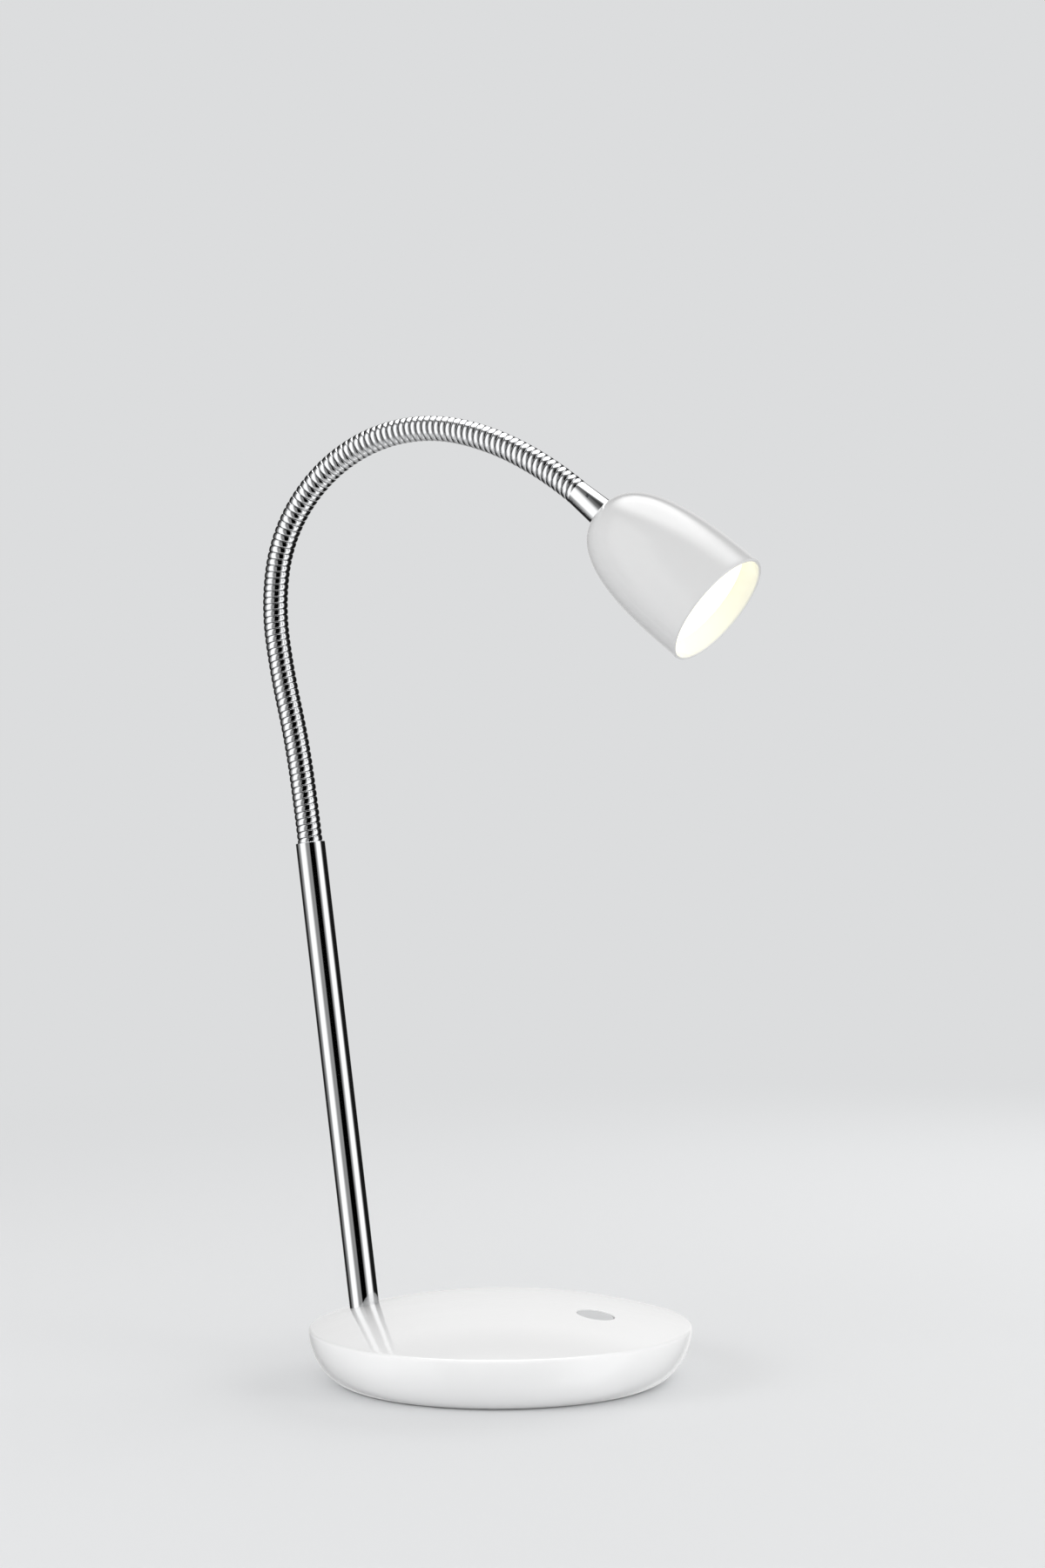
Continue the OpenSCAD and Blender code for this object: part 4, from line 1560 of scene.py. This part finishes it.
    @staticmethod
    def ramp(tree: Tree, place: bpy.types.Node, stops: Stops) -> Socket:
        """Return a tone that changes from straight down to straight up.

        Args:
            tree: Node tree of the world.
            place: Height of the ray's direction, 0 straight down and 1 straight up.
            stops: Height and tone of each stop.

        Returns:
            Socket with the tone.
        """
        node = add_node(tree, "ValToRGB", {"Fac": place})
        elements = node.color_ramp.elements
        while len(elements) > 1:
            elements.remove(elements[-1])
        for number, (at, level) in enumerate(stops):
            element = elements[0] if number == 0 else elements.new(at)
            element.position = at
            element.color = (level, level, level, 1)
        return node.outputs["Color"]

    def add_card(self, tree: Tree, way: Socket, behind: Socket, card: Card) -> Socket:
        """Lay one card over what lies behind it.

        Args:
            tree: Node tree of the world.
            way: Direction of the ray.
            behind: Tone behind the card.
            card: Card to add.

        Returns:
            Socket with the tone.
        """
        ahead = math.radians(self.camera_azimuth_deg - 90 + card.azimuth_deg)
        rise = math.radians(card.elevation_deg)
        if card.is_round:
            level_part = math.cos(rise)
            middle = (level_part * math.cos(ahead), level_part * math.sin(ahead), math.sin(rise))
            near = add_node(tree, "VectorMath", {0: way, 1: middle}, operation="DOT_PRODUCT")
            away = add_node(tree, "Math", {0: near.outputs["Value"]}, operation="ARCCOSINE")
            mask = self.card_edge(tree, away, card.half_deg[0], card.soft_deg[0])
        else:
            turned = add_node(
                tree, "Mapping", {"Vector": way, "Rotation": (0, 0, -ahead)}, vector_type="POINT"
            )
            x, y, z = add_node(tree, "SeparateXYZ", {0: turned}).outputs
            across = add_node(tree, "Math", {0: y, 1: x}, operation="ARCTAN2")
            up = add_node(tree, "Math", {0: z}, operation="ARCSINE")
            above = add_node(tree, "Math", {0: up, 1: rise}, operation="SUBTRACT")
            masks = [
                self.card_edge(
                    tree, add_node(tree, "Math", {0: offset}, operation="ABSOLUTE"), half, soft
                )
                for offset, half, soft in zip((across, above), card.half_deg, card.soft_deg)
            ]
            mask = add_node(tree, "Math", {0: masks[0], 1: masks[1]}, operation="MULTIPLY")
        tone = (card.level, card.level, card.level, 1)
        laid = add_node(
            tree, "Mix", {0: mask, 6: behind, 7: tone}, data_type="RGBA", label=card.name
        )
        return laid.outputs[2]

    @staticmethod
    def card_edge(tree: Tree, away: bpy.types.Node, half_deg: float, soft_deg: float) -> Socket:
        """Return 1 inside a card and 0 outside it, with a soft edge.

        Args:
            tree: Node tree of the world.
            away: Angle from the card's middle in radians.
            half_deg: Angle at the middle of the soft edge.
            soft_deg: Width of the soft edge.

        Returns:
            Socket with the mask.
        """
        return add_node(
            tree,
            "MapRange",
            {
                "Value": away,
                "From Min": math.radians(half_deg + soft_deg / 2),
                "From Max": math.radians(max(0.0, half_deg - soft_deg / 2)),
            },
            interpolation_type="SMOOTHSTEP",
        ).outputs["Result"]

    def add_soft_box(
        self, name: str, place: Point, size: tuple[float, float], power: float
    ) -> None:
        """Add one soft box that faces the middle of the lamp.

        Args:
            name: Name of the soft box.
            place: Where it stands.
            size: Width and height of its face.
            power: Power in watts.
        """
        light = bpy.data.lights.new(name, "AREA")
        light.shape = "RECTANGLE"
        light.size, light.size_y = size
        light.energy = power
        box = bpy.data.objects.new(name, light)
        bpy.context.scene.collection.objects.link(box)
        box.location = place
        aim = Vector(self.aim) - Vector(place)
        box.rotation_euler = aim.to_track_quat("-Z", "Y").to_euler()
        box.visible_glossy = False

    def build_camera(self) -> None:
        """Add the camera at the viewing angle."""
        data = bpy.data.cameras.new("camera")
        data.sensor_fit = "VERTICAL"
        data.sensor_height = self.sensor_mm
        data.lens = self.focal_px * self.sensor_mm / self.frame_height_px
        data.clip_end = self.camera_reach
        camera = bpy.data.objects.new("camera", data)
        bpy.context.scene.collection.objects.link(camera)
        bpy.context.scene.camera = camera
        azimuth = math.radians(self.camera_azimuth_deg)
        away = self.camera_distance
        place = (away * math.sin(azimuth), -away * math.cos(azimuth), self.camera_height)
        pitch = math.radians(90 + self.camera_pitch_deg)
        turn = Euler((pitch, 0, azimuth + math.radians(self.camera_yaw_deg))).to_matrix()
        roll = Matrix.Rotation(math.radians(self.camera_roll_deg), 3, "Z")
        camera.matrix_world = Matrix.Translation(place) @ (turn @ roll).to_4x4()


def main() -> None:
    """Build the lamp, its finishes and its studio, and report each piece."""
    logging.basicConfig(level=logging.INFO, format="%(message)s")
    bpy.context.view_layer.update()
    foot = Foot()
    layout = Layout(foot_z=foot.dome_z(Layout.foot_x))
    for assembly in (foot, Tube(layout), Gooseneck(layout), Head(layout)):
        for piece in assembly.build():
            name = type(assembly).__name__.lower()
            log.info("%s: %s, %d faces", name, piece.name, len(piece.data.polygons))
    dressed = InnerParts(frame["nodes"], frame["record"]).dress()
    log.info("inner parts: %d solids dressed", dressed)
    Studio().build()
    bpy.context.scene.view_settings.view_transform = "Standard"
    Bench.clear()


if __name__ == "__main__":
    main()
